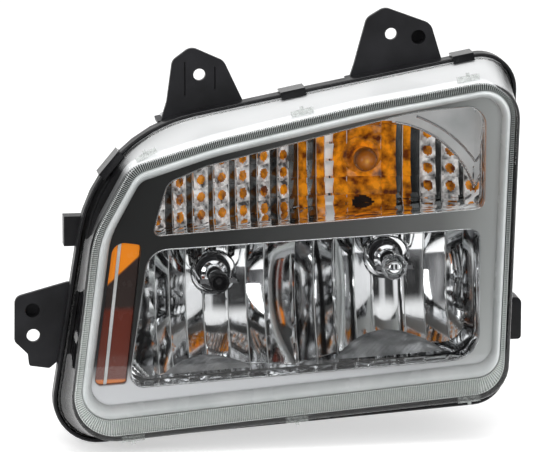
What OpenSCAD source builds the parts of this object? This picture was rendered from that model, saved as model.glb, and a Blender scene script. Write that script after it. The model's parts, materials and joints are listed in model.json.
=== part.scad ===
// Headlight assembly for a heavy vehicle, right-hand side.
// X points to the vehicle's middle, Y points into the lamp, Z is up.
// Shapes are drawn from the centre of the trim ring's front plane, then moved so that
// the inner top bracket's bolt hole is the origin.

/* [Lens and flange] */
// Distance of the lens face in front of the trim ring plane
lens_reach = 7; // [6:0.5:10]
// Wall of the lens
lens_wall = 3; // [2.5:0.25:3.5]
// Depth of the flange's front edge behind the trim ring plane
flange_y = 35; // [33:1:38]
// Depth of the channel that holds the lens foot
channel_depth = 10; // [9:1:12]
// Wall of the flange lip
lip_wall = 2.5; // [2:0.25:3]

/* [Housing] */
// Wall of the housing
shell_wall = 2.5; // [2:0.25:3]
// Depth of the shallow back wall behind the turn signal and the side marker
shallow_back_y = 100; // [98:1:104]
// Depth of the deep back wall behind the beams
deep_back_y = 150; // [148:1:154]

/* [Reflectors] */
// Depth of the reflectors' front edges
reflector_front_y = 28; // [27:0.5:30]
// Focal length of the high beam bowl
high_focal = 40; // [38:0.5:42]
// Depth of the high beam bowl's apex
high_apex_y = 84; // [83:1:86]
// Focal length of the low beam bowl
low_focal = 48; // [46:0.5:50]
// Depth of the low beam bowl's apex
low_apex_y = 96; // [95:1:97]
// Wall of the reflectors
bowl_wall = 2.5; // [2.5:0.25:3]

/* [Aiming] */
// Radius of the pivot ball and the adjuster balls
ball_r = 4; // [3.5:0.25:4]
// Play of the adjuster balls in their sockets
ball_play = 0.4; // [0.35:0.05:0.5]
// Depth of the three ball centres
ball_y = 110; // [108:1:112]
// Height of the pivot above the vertical adjuster
vertical_arm = 90; // [86:1:92]
// Distance of the pivot from the horizontal adjuster
horizontal_arm = 130; // [126:1:131]

/* [Brackets] */
// Thickness of the bracket plates
plate = 4; // [3:0.5:5]
// Radius of the bolt holes in the top brackets
top_bolt_r = 4.8; // [4.3:0.1:5.5]
// Radius of the bolt hole in the side bracket
side_bolt_r = 5.3; // [4.3:0.1:5.5]
// Radius of the locating holes
locator_r = 5.8; // [5:0.1:6]

/* [Hidden] */
$fn = 48;
eps = 0.1;
arc_step = 9;

// The inner top bracket's bolt hole, which is the part's origin
datum = [86, 49.5, 161];

// Outlines are lists of [x, z, corner radius], anticlockwise seen from the front
flange_line = [
    [-193, -164, 36], [178, -139, 28], [186, 152, 29], [20, 121.5, 1500], [-152.5, 88.5, 115],
];
ring_line = [
    [-177, -151, 32], [170.5, -122.5, 26], [179, 132.5, 28],
    [60.5, 113.5, 700], [-60.5, 87.5, 300], [-126.5, 68, 22], [-156.5, 13, 80],
];
bead_line = [
    [-170.5, -137.5, 24], [167.5, -109.5, 20], [176, 126, 22],
    [60.5, 108, 700], [-60.5, 82, 300], [-122.5, 63, 20], [-151, 12.5, 72],
];
groove_line = [
    [-161, -125, 16], [161, -98.5, 14], [168, 118.5, 16],
    [60.5, 100, 700], [-60.5, 74, 300], [-119, 55.5, 14], [-142.5, 12.5, 64],
];
upper_window = [
    [-109, 12, 4], [154.5, 26.5, 8], [155, 110, 15],
    [96, 105, 150], [-66.5, 66.5, 60], [-97, 54, 12], [-105, 28.5, 30],
];
lower_window = [[-129, -110, 10], [151, -95, 22], [151, 10, 7], [-112.5, 0, 18]];
side_window = [[-156.5, -108, 5], [-131, -106.5, 3], [-118.5, 5, 3], [-140.5, 8, 10]];
// The deep part of the housing behind the beam reflector
deep_line = [[-132.5, -127, 22], [155.5, -111, 22], [155.5, 26, 18], [-132.5, 30.5, 18]];

// Lamp axes, as [x, z]
low_axis = [90.5, -29.5];
high_axis = [-52, -35.5];
turn_axis = [66.5, 59.5];
marker_axis = [-146.5, -59];

pivot_axis = [19, -5.5];
vertical_axis = [pivot_axis[0], pivot_axis[1] - vertical_arm];
horizontal_axis = [pivot_axis[0] - horizontal_arm, pivot_axis[1]];

// The aiming screws, each with the turn of its body about its axis
adjusters = [[vertical_axis, 0], [horizontal_axis, -90]];

run_gap = 0.05;
bezel_y = 6;
bezel_wall = 2.5;
bezel_tube_y = 17;
channel_floor_y = flange_y + channel_depth;
channel_w = 6.5;
channel_inset = lip_wall + channel_w;
body_inset = channel_inset + shell_wall;
back_y = channel_floor_y + shell_wall;
seat_y = 52;

bezel_posts = [[-151.5, -124.5], [160.5, -110], [165.5, 117], [-123, 51.5]];
post_r = 4.5;
turn_posts = [[-60.5, 40.5], [121, 68]];
screw_r = 1.6;
vent_points = [[133.5, 8.5], [-113, -90.5]];
connector_axis = [72.5, -88];

bulb_hole_r = 11;
bulb_flange_r = 19;
turn_hole_r = 13;
marker_hole_r = 6.5;
cap_plug_r = 34.4;
cap_collar_r = 40;
cap_collar_l = 13;

// Feet of the brackets on the flange's edge, as [x, z, turn, length]
bracket_feet = [[-66.5, 105, 10.8, 70], [88, 133.5, 10.5, 74], [-178, -64.5, 80.9, 56]];
foot_drop = 3;
foot_wall = 3;
foot_screw_y = 13;
drive_r = 6;
stud_r = 3;

/* Outline helpers */
function xy(c) = [c[0], c[1]];
function unit(v) = v / norm(v);
function at(line, i) = line[(i + len(line)) % len(line)];
function half_angle(a, b, c) = acos(unit(xy(a) - xy(b)) * unit(xy(c) - xy(b))) / 2;
function bisector(a, b, c) = unit(unit(xy(a) - xy(b)) + unit(xy(c) - xy(b)));
function wrap(angle) = angle > 180 ? angle - 360 : angle < -180 ? angle + 360 : angle;

// Points of one rounded corner b between its neighbours a and c
function corner(a, b, c) =
    let (half = half_angle(a, b, c))
    let (centre = xy(b) + bisector(a, b, c) * b[2] / sin(half))
    let (reach = b[2] / tan(half))
    let (p = xy(b) + unit(xy(a) - xy(b)) * reach - centre)
    let (q = xy(b) + unit(xy(c) - xy(b)) * reach - centre)
    let (start = atan2(p[1], p[0]))
    let (sweep = wrap(atan2(q[1], q[0]) - start))
    let (steps = max(2, ceil(abs(sweep) / arc_step)))
    [for (i = [0:steps]) centre + b[2] * [cos(start + sweep * i / steps), sin(start + sweep * i / steps)]];

function rounded(line) =
    [for (i = [0:len(line) - 1]) each corner(at(line, i - 1), at(line, i), at(line, i + 1))];

// The outline moved inwards by d
function inset(line, d) = [
    for (i = [0:len(line) - 1])
        let (a = at(line, i - 1), b = at(line, i), c = at(line, i + 1))
        let (p = xy(b) + bisector(a, b, c) * d / sin(half_angle(a, b, c)))
        [p[0], p[1], max(1, b[2] - d)]
];

// Solid of an outline from depth y0 to depth y1
module slab(line, y0, y1) {
    translate([0, y1, 0]) rotate([90, 0, 0]) linear_extrude(y1 - y0) polygon(rounded(line));
}

// Band between two outlines
module band(outer, inner, y0, y1) {
    difference() {
        slab(outer, y0, y1);
        slab(inner, y0 - eps, y1 + eps);
    }
}

// Round bar along Y at [x, z]
module rod(axis, r, y0, y1) {
    translate([axis[0], y1, axis[1]]) rotate([90, 0, 0]) cylinder(h = y1 - y0, r = r);
}

module tube(axis, r_out, r_in, y0, y1) {
    difference() {
        rod(axis, r_out, y0, y1);
        rod(axis, r_in, y0 - eps, y1 + eps);
    }
}

// Bar along Y with six flats
module hex_rod(axis, r, y0, y1) {
    translate([axis[0], y1, axis[1]]) rotate([90, 0, 0]) cylinder(h = y1 - y0, r = r, $fn = 6);
}

// Box centred on [x, z], from depth y0 to y1
module block(axis, size, y0, y1) {
    translate([axis[0] - size[0] / 2, y0, axis[1] - size[1] / 2]) cube([size[0], y1 - y0, size[1]]);
}

module place() {
    translate(-datum) children();
}

// Copies turned about an axis along Y
module around(axis, angles) {
    for (a = angles)
        translate([axis[0], 0, axis[1]]) rotate([0, a, 0]) translate([-axis[0], 0, -axis[1]]) children();
}

/* Housing */
module shell_outer() {
    slab(flange_line, flange_y, channel_floor_y + shell_wall);
    hull() {
        slab(inset(flange_line, channel_inset), channel_floor_y, channel_floor_y + 1);
        slab(inset(flange_line, 19), shallow_back_y - 1, shallow_back_y);
    }
    hull() {
        slab(inset(deep_line, -2), shallow_back_y - 12, shallow_back_y - 11);
        slab(deep_line, deep_back_y - 1, deep_back_y);
    }
    block([-167.5, 9], [16, 24], back_y - 1, back_y + 12);
    slab([[177, -90.4, 1], [193.3, -90.4, 3], [193.3, -55.8, 5], [177, -55.8, 1]], back_y - 1, back_y + 19);
    for (f = bracket_feet, s = [-1, 1]) on_edge(f) foot_boss(s * (f[3] / 2 - 8));
}

// A place on the flange's edge: [x, z, turn, length], with local Z pointing outwards
module on_edge(f) {
    translate([f[0], 0, f[1]]) rotate([0, -f[2], 0]) children();
}

module foot_boss(x) {
    translate([x, back_y + foot_screw_y, -foot_drop - foot_wall - 11]) cylinder(h = 11, r = 5);
}

module shell_inner() {
    front = channel_floor_y - 8;
    slab(inset(flange_line, body_inset), front - eps, channel_floor_y + 1);
    hull() {
        slab(inset(flange_line, body_inset), channel_floor_y, channel_floor_y + 1);
        slab(inset(flange_line, 19 + shell_wall), shallow_back_y - shell_wall - 1, shallow_back_y - shell_wall);
    }
    hull() {
        slab(inset(deep_line, shell_wall - 2), shallow_back_y - 14, shallow_back_y - 13);
        slab(inset(deep_line, shell_wall), deep_back_y - shell_wall - 1, deep_back_y - shell_wall);
    }
}

// Solid places left standing inside the shell: seats and bosses
module shell_pads() {
    for (p = bezel_posts) {
        rod(p, 7, seat_y, seat_y + 4);
        block([p[0] + sign(p[0]) * 15, p[1]], [30, 9], seat_y, seat_y + 4);
    }
    for (p = turn_posts) rod(p, 6, 86, shallow_back_y);
    rod(pivot_axis, 9, 126, deep_back_y);
    rod(vertical_axis, 14.5, 142, deep_back_y);
    rod(horizontal_axis, 14.5, 142, deep_back_y);
}

// Twist-lock hole for a lamp holder: bore and two entry slots
module bayonet_hole(axis, hole_r, lug_w) {
    front = shallow_back_y - 4;
    back = shallow_back_y + 4 + eps;
    rod(axis, hole_r + 0.5, front, back);
    around(axis, [45, 225]) block([axis[0], axis[1] + hole_r], [lug_w + 1, 6.4], front, back);
}

// Mouth, groove and entry slots of a rear access opening
module cap_hole(axis) {
    rod(axis, cap_plug_r + 0.6, deep_back_y - 4, deep_back_y + cap_collar_l + eps);
    rod(axis, cap_plug_r + 2.5, deep_back_y + 2.5, deep_back_y + 6);
    around(axis, [30, 150, 270])
        block([axis[0], axis[1] + cap_plug_r], [13, 5], deep_back_y + 5.5, deep_back_y + cap_collar_l + eps);
}

module housing() {
    color([0.07, 0.07, 0.075]) place() difference() {
        union() {
            difference() {
                shell_outer();
                difference() {
                    shell_inner();
                    shell_pads();
                }
            }
            for (axis = [low_axis, high_axis]) rod(axis, cap_collar_r, deep_back_y - 1, deep_back_y + cap_collar_l);
            for (p = vent_points) rod(p, 4, deep_back_y - 1, deep_back_y + 9);
            rod(turn_axis, turn_hole_r + 5, shallow_back_y - 1, shallow_back_y + 4);
            rod(marker_axis, marker_hole_r + 4, shallow_back_y - 1, shallow_back_y + 4);
        }
        band(inset(flange_line, lip_wall), inset(flange_line, channel_inset), flange_y - eps, channel_floor_y);
        slab(inset(flange_line, channel_inset - eps), flange_y - eps, channel_floor_y - 8);
        for (axis = [low_axis, high_axis]) cap_hole(axis);
        for (axis = [vertical_axis, horizontal_axis]) rod(axis, 9, 141, deep_back_y + eps);
        rod(pivot_axis, 5, 125, deep_back_y + eps);
        for (p = vent_points) rod(p, 2, deep_back_y - 4, deep_back_y + 10);
        bayonet_hole(turn_axis, turn_hole_r, 6);
        bayonet_hole(marker_axis, marker_hole_r, 4);
        block(connector_axis, [32, 16], deep_back_y - 4, deep_back_y + eps);
        for (p = bezel_posts) rod(p, 1.8, seat_y - eps, seat_y + 4 + eps);
        for (p = turn_posts) rod(p, 1.8, 84, shallow_back_y + eps);
        for (a = adjusters, s = [-16, 16]) around(a[0], [a[1]])
            rod([a[0][0] + s, a[0][1]], screw_r, deep_back_y - 4, deep_back_y + eps);
        for (f = bracket_feet, s = [-1, 1]) on_edge(f)
            translate([s * (f[3] / 2 - 8), back_y + foot_screw_y, -foot_drop - foot_wall - 6]) cylinder(h = 7, r = screw_r);
    }
}

/* Lens */
lens_foot = inset(flange_line, lip_wall + 0.5);
lens_front = inset(ring_line, -3);

module lens_block(shrink) {
    hull() {
        slab(inset(lens_front, 3.5 + shrink), shrink - lens_reach, shrink - lens_reach + 1);
        slab(inset(lens_front, shrink), shrink - lens_reach + 4, shrink - lens_reach + 5);
    }
    hull() {
        slab(inset(lens_front, shrink), shrink - lens_reach + 4, shrink - lens_reach + 5);
        slab(inset(lens_foot, 1.5 + shrink), flange_y - 1, flange_y + shrink);
    }
}

// Small moulded rests on the lens edge, as [x, z, turn]
lens_tabs = [
    [-126.5, -149.5, 4.8], [4, -138.5, 4.8], [142.5, -127, 4.8],
    [-115, 78, 29], [8, 109, 12], [139.5, 132.5, 10],
];

module lens() {
    color([0.93, 0.95, 0.96, 0.3]) place() {
        difference() {
            union() {
                lens_block(0);
                slab(lens_foot, flange_y - 1, flange_y + 6.5);
                for (t = lens_tabs) on_edge(t) translate([-5, -1, -3]) cube([10, 7, 6]);
            }
            lens_block(lens_wall);
            slab(inset(lens_foot, 4), flange_y - 1, flange_y + 7);
        }
    }
}

module lens_seal() {
    color([0.12, 0.12, 0.12]) place()
        band(inset(flange_line, lip_wall + 0.6), inset(flange_line, channel_inset - 0.6), flange_y + 6.5, channel_floor_y);
}

// Snap clips on the flange's edge, as [x, z, turn, length]
clip_points = [
    [-139.7, 64.7, 49.9, 24], [5.5, 118.7, 11.1, 20], [141.5, 143.8, 10.5, 17],
    [183.7, 72, -91.6, 20], [180.8, -32, -91.6, 18],
];

// Clip hooked over the lens foot in front and the flange behind
module clip(c) {
    on_edge(c) difference() {
        translate([-c[3] / 2, flange_y - 3.4, -4.3]) cube([c[3], back_y - flange_y + 5.7, 6.4]);
        translate([-c[3] / 2 - 1, flange_y - 1.3, -9]) cube([c[3] + 2, back_y - flange_y + 1.6, 9.3]);
    }
}

module lens_clips() {
    color([0.09, 0.09, 0.095]) place() for (c = clip_points) clip(c);
}

/* Trim */
module bezel() {
    color([0.62, 0.63, 0.64]) place() difference() {
        union() {
            slab(inset(ring_line, 0.5), bezel_y, bezel_y + bezel_wall);
            band(inset(ring_line, 0.5), inset(ring_line, 2.7), bezel_y, 30);
            for (w = [upper_window, lower_window, side_window]) slab(inset(w, -1.6), bezel_y, bezel_tube_y);
            for (p = bezel_posts) rod(p, post_r, bezel_y + eps, seat_y);
        }
        for (w = [upper_window, lower_window, side_window]) slab(w, bezel_y - eps, bezel_tube_y + eps);
        for (p = bezel_posts) rod(p, screw_r, 38, seat_y + eps);
    }
}

// Round-headed screw along Y, its head behind head_y and its shank in front
module screw(axis, head_y, length) {
    rod(axis, 4, head_y, head_y + 3);
    rod(axis, screw_r, head_y - length, head_y);
}

module bezel_screws() {
    color([0.6, 0.6, 0.62]) place() for (p = bezel_posts) screw(p, seat_y + 4, 14);
}

module fluted_ring() {
    color([0.82, 0.84, 0.85]) place() {
        band(ring_line, bead_line, 0, bezel_y);
    }
}

module light_guide() {
    color([0.88, 0.9, 0.91]) place() {
        band(inset(bead_line, 0.1), groove_line, 1.5, bezel_y);
        band(inset(bead_line, 1.5), inset(groove_line, -1.5), -0.5, 1.5);
        band(inset(bead_line, 3), inset(groove_line, -2.6), -1.5, -0.5);
    }
}

module window_trim() {
    color([0.9, 0.9, 0.91]) place() difference() {
        slab(inset(lower_window, 0.1), bezel_y - 2, 17);
        slab(inset(lower_window, 1.3), bezel_y - 3, 18);
    }
}

module side_reflex() {
    color([0.85, 0.35, 0.02]) place() slab(inset(side_window, 0.3), 11, 14);
}

// Thin upright bar in front of the amber panel
module divider_bar(y0, y1, width) {
    translate([-141.2, 0, -49]) rotate([0, 6.4, 0]) translate([-width / 2, y0, -64]) cube([width, y1 - y0, 128]);
}

module side_divider() {
    color([0.85, 0.86, 0.87]) place() intersection() {
        slab(inset(side_window, 0.3), 8, 12);
        divider_bar(9, 11, 2.4);
    }
}

/* Beam reflector */
// Bowl of a parabola round an axis along Y, from its apex forwards
module bowl(axis, focal, apex_y, reach) {
    steps = 12;
    translate([axis[0], apex_y, axis[1]]) rotate([90, 0, 0]) rotate_extrude($fn = 96) polygon(concat(
        [for (i = [0:steps]) let (r = reach * i / steps) [r, r * r / (4 * focal)]],
        [[0, reach * reach / (4 * focal)]]
    ));
}

module bowls(grow) {
    for (b = [[high_axis, high_focal, high_apex_y], [low_axis, low_focal, low_apex_y]])
        bowl(b[0], b[1], b[2] + grow, sqrt(4 * b[1] * (b[2] + grow - reflector_front_y + 1)));
}

// Posts that carry the nylon ball sockets
module socket_post(axis, foot_y) {
    rod(axis, 6.5, foot_y, ball_y - 6);
}

module beam_reflector() {
    outer = inset(lower_window, -bowl_wall);
    color([0.86, 0.87, 0.88]) place() difference() {
        union() {
            intersection() {
                slab(outer, reflector_front_y, low_apex_y + 10);
                union() {
                    bowls(bowl_wall);
                    slab(outer, reflector_front_y, reflector_front_y + bowl_wall);
                }
            }
            rod(high_axis, bulb_hole_r + 5, high_apex_y - 4, high_apex_y + 5);
            rod(low_axis, bulb_hole_r + 5, low_apex_y - 4, low_apex_y + 5);
            socket_post(vertical_axis, reflector_front_y + 1);
            socket_post(horizontal_axis, 44);
            block(pivot_axis, [20, 22], 52, ball_y + 5);
            block([pivot_axis[0], (pivot_axis[1] + vertical_axis[1]) / 2], [3, vertical_arm], 60, ball_y - 12);
            block([(pivot_axis[0] + horizontal_axis[0]) / 2, pivot_axis[1]], [horizontal_arm, 3], 76, ball_y - 12);
        }
        intersection() {
            slab(lower_window, reflector_front_y - eps, low_apex_y + 20);
            bowls(0);
        }
        for (b = [[high_axis, high_apex_y], [low_axis, low_apex_y]]) {
            rod(b[0], bulb_hole_r + run_gap, b[1] - 12, b[1] + 6);
            around(b[0], [45, 165, 285])
                block([b[0][0], b[0][1] + bulb_hole_r], [6, 5], b[1] - 6, b[1] + 6);
        }
        translate([pivot_axis[0] - 20, ball_y, pivot_axis[1]]) rotate([0, 90, 0]) cylinder(h = 40, r = 7 + run_gap);
        for (axis = [vertical_axis, horizontal_axis]) rod(axis, 2.5, ball_y - 12, ball_y - 5.9);
    }
}

// Cup in front of a bulb, on a crossbar with two legs that stand on the bowl
module beam_shield(axis, apex_y, focal, cup_r, cup_y) {
    leg_x = 15.4;
    foot_y = apex_y - (leg_x + 0.9) * (leg_x + 0.9) / (4 * focal) - 0.06;
    bar_y = cup_y + 7;
    difference() {
        union() {
            rod(axis, cup_r, cup_y, cup_y + 12);
            block(axis, [2 * leg_x, 3.4], bar_y, bar_y + 2.4);
        }
        rod(axis, cup_r - 1, cup_y + 1.2, cup_y + 13);
    }
    for (s = [-1, 1]) block([axis[0] + s * leg_x, axis[1]], [1.6, 4], bar_y, foot_y);
}

module low_beam_shield() {
    color([0.85, 0.86, 0.87]) place() beam_shield(low_axis, low_apex_y, low_focal, 10.5, 44);
}

module high_beam_shield() {
    color([0.05, 0.05, 0.055]) place() beam_shield(high_axis, high_apex_y, high_focal, 8, 40);
}

/* Bulbs */
module bulb_glass(axis, apex_y, tip_y) {
    rod(axis, 6, tip_y + 6, apex_y - 8);
    translate([axis[0], tip_y + 6, axis[1]]) sphere(r = 6);
}

module bulb_base(axis, apex_y) {
    back = apex_y + 5;
    difference() {
        rod(axis, bulb_hole_r, apex_y - 8, back + 1);
        rod(axis, 6, apex_y - 9, apex_y - 8);
    }
    around(axis, [0, 120, 240]) block([axis[0], axis[1] + bulb_hole_r], [5, 4], apex_y - 4.8, apex_y - 2.3);
    rod(axis, bulb_flange_r, back + 2.8, back + 5.5);
    rod(axis, bulb_hole_r, back, back + 3);
    difference() {
        block([axis[0], axis[1] - 4], [22, 16], back + 5, back + 28);
        block([axis[0], axis[1] - 4], [18, 12], back + 12, back + 29);
    }
    for (s = [-1, 1]) block([axis[0] + s * 4, axis[1] - 4], [1, 6], back + 10, back + 25);
}

module bulb_seal(axis, apex_y) {
    tube(axis, bulb_hole_r + 3.4, bulb_hole_r, apex_y + 5.3, apex_y + 7.8);
}

module low_bulb_glass() {
    color([0.95, 0.97, 1, 0.35]) place() bulb_glass(low_axis, low_apex_y, 48);
}

module low_bulb_base() {
    color([0.15, 0.15, 0.16]) place() bulb_base(low_axis, low_apex_y);
}

module low_bulb_seal() {
    color([0.6, 0.15, 0.1]) place() bulb_seal(low_axis, low_apex_y);
}

module high_bulb_glass() {
    color([0.95, 0.97, 1, 0.35]) place() bulb_glass(high_axis, high_apex_y, 43);
}

module high_bulb_base() {
    color([0.15, 0.15, 0.16]) place() bulb_base(high_axis, high_apex_y);
}

module high_bulb_seal() {
    color([0.6, 0.15, 0.1]) place() bulb_seal(high_axis, high_apex_y);
}

/* Turn signal */
turn_apex_y = 72;
turn_focal = 170;

module turn_reflector() {
    front = reflector_front_y - 5;
    color([0.86, 0.87, 0.88]) place() difference() {
        union() {
            intersection() {
                slab(inset(upper_window, -bowl_wall), front, turn_apex_y + 10);
                bowl(turn_axis, turn_focal, turn_apex_y + bowl_wall, 200);
            }
            for (p = turn_posts) rod(p, 5, 46, 86);
        }
        intersection() {
            slab(upper_window, front - eps, turn_apex_y + 20);
            bowl(turn_axis, turn_focal, turn_apex_y, 210);
        }
        rod(turn_axis, turn_hole_r + 0.5, turn_apex_y - 5, turn_apex_y + 6);
        for (p = turn_posts) rod(p, screw_r, 74, 87);
    }
}

module reflector_screws() {
    color([0.6, 0.6, 0.62]) place() for (p = turn_posts) screw(p, shallow_back_y, 24);
}

module turn_bulb() {
    color([0.95, 0.5, 0.05]) place() {
        translate([turn_axis[0], 52, turn_axis[1]]) sphere(r = 10);
        rod(turn_axis, 7.5, 58, 70);
    }
}

// Twist-in lamp holder: nose, bayonet lugs, disc and plug
module twist_socket(axis, hole_r, nose_y, lug_w, disc, plug) {
    wall_back = shallow_back_y + 4;
    rod(axis, hole_r, nose_y, wall_back + 3);
    around(axis, [0, 180]) block([axis[0], axis[1] + hole_r], [lug_w, 5], shallow_back_y - 6.5, shallow_back_y - 3.5);
    rod(axis, hole_r + disc, wall_back + 2.5, wall_back + 5);
    difference() {
        block(axis, plug, wall_back + 5, wall_back + 22);
        block(axis, [plug[0] - 4, plug[1] - 4], wall_back + 10, wall_back + 23);
    }
}

module turn_socket() {
    color([0.2, 0.2, 0.21]) place() twist_socket(turn_axis, turn_hole_r, 70, 6, 6, [20, 14]);
}

module turn_gasket() {
    color([0.25, 0.25, 0.25]) place()
        tube(turn_axis, turn_hole_r + 4.5, turn_hole_r, shallow_back_y + 4.3, shallow_back_y + 6.5);
}

/* Side marker */
module marker_bulb() {
    color([0.95, 0.5, 0.05]) place() {
        translate([marker_axis[0], 40, marker_axis[1]]) sphere(r = 5);
        rod(marker_axis, 5, 40, 62);
    }
}

module marker_socket() {
    color([0.2, 0.2, 0.21]) place() twist_socket(marker_axis, marker_hole_r, 62, 4, 4, [18, 14]);
}

module marker_gasket() {
    color([0.25, 0.25, 0.25]) place()
        tube(marker_axis, marker_hole_r + 3.5, marker_hole_r, shallow_back_y + 4.3, shallow_back_y + 6.5);
}

/* Rear access caps */
module access_cap(axis) {
    rear = deep_back_y + cap_collar_l;
    difference() {
        union() {
            rod(axis, cap_collar_r + 1, rear + 2.8, rear + 5.5);
            tube(axis, cap_plug_r, cap_plug_r - 2.5, deep_back_y + 2, rear + 3);
            around(axis, [0, 120, 240])
                block([axis[0], axis[1] + cap_plug_r], [11, 3.6], deep_back_y + 2.9, deep_back_y + 5.1);
            block(axis, [8, 60], rear + 5, rear + 16);
        }
        rod(axis, cap_plug_r - 2.6, deep_back_y, rear + 2.8);
    }
}

module cap_seal(axis) {
    rear = deep_back_y + cap_collar_l;
    tube(axis, cap_collar_r - 0.5, cap_plug_r, rear + 0.3, rear + 2.8);
}

module low_cap() {
    color([0.1, 0.1, 0.105]) place() access_cap(low_axis);
}

module low_cap_seal() {
    color([0.2, 0.2, 0.2]) place() cap_seal(low_axis);
}

module high_cap() {
    color([0.1, 0.1, 0.105]) place() access_cap(high_axis);
}

module high_cap_seal() {
    color([0.2, 0.2, 0.2]) place() cap_seal(high_axis);
}

/* Pivot and adjusters */
module ball(axis, r) {
    translate([axis[0], ball_y, axis[1]]) sphere(r = r);
}

module pivot_stud() {
    color([0.7, 0.7, 0.72]) place() {
        ball(pivot_axis, ball_r);
        rod(pivot_axis, 2.2, ball_y, ball_y + 12);
        rod(pivot_axis, 5, ball_y + 12, deep_back_y + 2);
        hex_rod(pivot_axis, 7.5, deep_back_y, deep_back_y + 5);
    }
}

module pivot_barrel() {
    color([0.9, 0.9, 0.86]) place() difference() {
        translate([pivot_axis[0] - 9.5, ball_y, pivot_axis[1]]) rotate([0, 90, 0]) cylinder(h = 19, r = 7);
        ball(pivot_axis, ball_r + run_gap);
        rod(pivot_axis, 3.2, ball_y, ball_y + 10);
    }
}

module adjuster_body(adjuster) {
    axis = adjuster[0];
    around(axis, [adjuster[1]]) difference() {
        union() {
            rod(axis, 9, 142, deep_back_y + 12);
            rod(axis, 12, deep_back_y, deep_back_y + 3);
            block(axis, [44, 12], deep_back_y, deep_back_y + 3);
            block([axis[0], axis[1] - 10], [13, 20], deep_back_y + 3, deep_back_y + 12);
        }
        rod(axis, drive_r + run_gap, 141, deep_back_y + 13);
        for (s = [-1, 1]) rod([axis[0] + s * 16, axis[1]], 1.9, deep_back_y - eps, deep_back_y + 4);
    }
}

module adjuster_drive(axis) {
    difference() {
        union() {
            rod(axis, drive_r, 140, deep_back_y + 15);
            rod(axis, 8, deep_back_y + 12.3, deep_back_y + 15);
            hex_rod(axis, 6, deep_back_y + 15, deep_back_y + 24);
        }
        rod(axis, stud_r + run_gap, 139, deep_back_y + 12);
    }
}

module adjuster_stud(axis) {
    ball(axis, ball_r);
    rod(axis, 2.2, ball_y, ball_y + 10);
    rod(axis, stud_r, ball_y + 10, deep_back_y + 5);
}

// Nylon cup round an adjuster ball, open at the back, with a spigot in the post
module ball_socket(axis) {
    cup_r = ball_r + ball_play;
    mouth = asin(2.6 / cup_r);
    translate([axis[0], ball_y, axis[1]]) rotate([-90, 0, 0]) rotate_extrude() polygon(concat(
        [[0, -11], [2.5, -11], [2.5, -6], [7.5, -6], [7.5, 2.6]],
        [for (i = [0:12]) let (a = mouth - (90 + mouth) * i / 12) cup_r * [cos(a), sin(a)]]
    ));
}

module vertical_adjuster() {
    color([0.75, 0.75, 0.7]) place() adjuster_body(adjusters[0]);
}

module vertical_drive() {
    color([0.9, 0.9, 0.86]) place() adjuster_drive(vertical_axis);
}

module vertical_stud() {
    color([0.7, 0.7, 0.72]) place() adjuster_stud(vertical_axis);
}

module vertical_socket() {
    color([0.9, 0.9, 0.86]) place() ball_socket(vertical_axis);
}

module horizontal_adjuster() {
    color([0.75, 0.75, 0.7]) place() adjuster_body(adjusters[1]);
}

module horizontal_drive() {
    color([0.9, 0.9, 0.86]) place() adjuster_drive(horizontal_axis);
}

module horizontal_stud() {
    color([0.7, 0.7, 0.72]) place() adjuster_stud(horizontal_axis);
}

module horizontal_socket() {
    color([0.9, 0.9, 0.86]) place() ball_socket(horizontal_axis);
}

module adjuster_screws() {
    color([0.6, 0.6, 0.62]) place() for (a = adjusters, s = [-16, 16]) around(a[0], [a[1]])
        screw([a[0][0] + s, a[0][1]], deep_back_y + 3, 6);
}

/* Rear fittings */
module harness_connector() {
    color([0.15, 0.15, 0.16]) place() {
        difference() {
            union() {
                block(connector_axis, [32, 16], deep_back_y - shell_wall, deep_back_y);
                block(connector_axis, [38, 22], deep_back_y, deep_back_y + 3);
                block(connector_axis, [32, 16], deep_back_y + 3, deep_back_y + 20);
            }
            block(connector_axis, [28, 12], deep_back_y + 5, deep_back_y + 21);
        }
        for (i = [-2:2]) block([connector_axis[0] + i * 5, connector_axis[1]], [1, 3], deep_back_y + 4, deep_back_y + 11);
    }
}

module vent_caps() {
    color([0.13, 0.13, 0.13]) place() for (p = vent_points) difference() {
        rod(p, 6.5, deep_back_y + 1, deep_back_y + 13);
        rod(p, 4, deep_back_y, deep_back_y + 9);
    }
}

/* Brackets */
outer_top_hole = [-67, 132];
inner_top_hole = [datum[0], datum[2]];
inner_locator = [108, 158];
side_hole = [-200.5, -75];
side_locator = [-201, -54.5];

// Outlines of the plates, anticlockwise from the front
outer_top_line = [
    [-101, 85, 1], [-26.5, 99, 1], [-32.5, 110.5, 4], [-47.5, 142.5, 8],
    [-73.5, 154.5, 9], [-88.5, 143.5, 8], [-93, 111, 5],
];
inner_top_line = [
    [48.5, 113, 1], [128.5, 129, 1], [126.5, 140.5, 4], [118, 168.5, 9],
    [81, 182.5, 9], [66.5, 174, 9], [56.5, 137.5, 5],
];
side_line = [
    [-171.5, -101, 1], [-163.5, -32, 1], [-173.5, -32.5, 3], [-215, -43.5, 7], [-215.5, -79.5, 4],
    [-205, -90, 3], [-204, -99.5, 2], [-188, -102, 3], [-182, -97, 2],
];

// Upright plate behind the flange, and its foot folded back over the housing
module bracket(line, foot) {
    difference() {
        union() {
            slab(line, back_y, back_y + plate);
            on_edge(foot) translate([-foot[3] / 2, back_y, -foot_drop - foot_wall]) cube([foot[3], 24, foot_wall]);
        }
        slab(inset(flange_line, foot_drop + foot_wall), back_y - eps, back_y + plate + eps);
        for (s = [-1, 1]) on_edge(foot)
            translate([s * (foot[3] / 2 - 8), back_y + foot_screw_y, -foot_drop - foot_wall - 1]) cylinder(h = 6, r = 2);
    }
}

// Closed cup that locates the vehicle's pin
module locator(axis) {
    difference() {
        rod(axis, locator_r + 2.2, back_y, back_y + 13);
        rod(axis, locator_r, back_y - eps, back_y + 10.5);
    }
}

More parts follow.
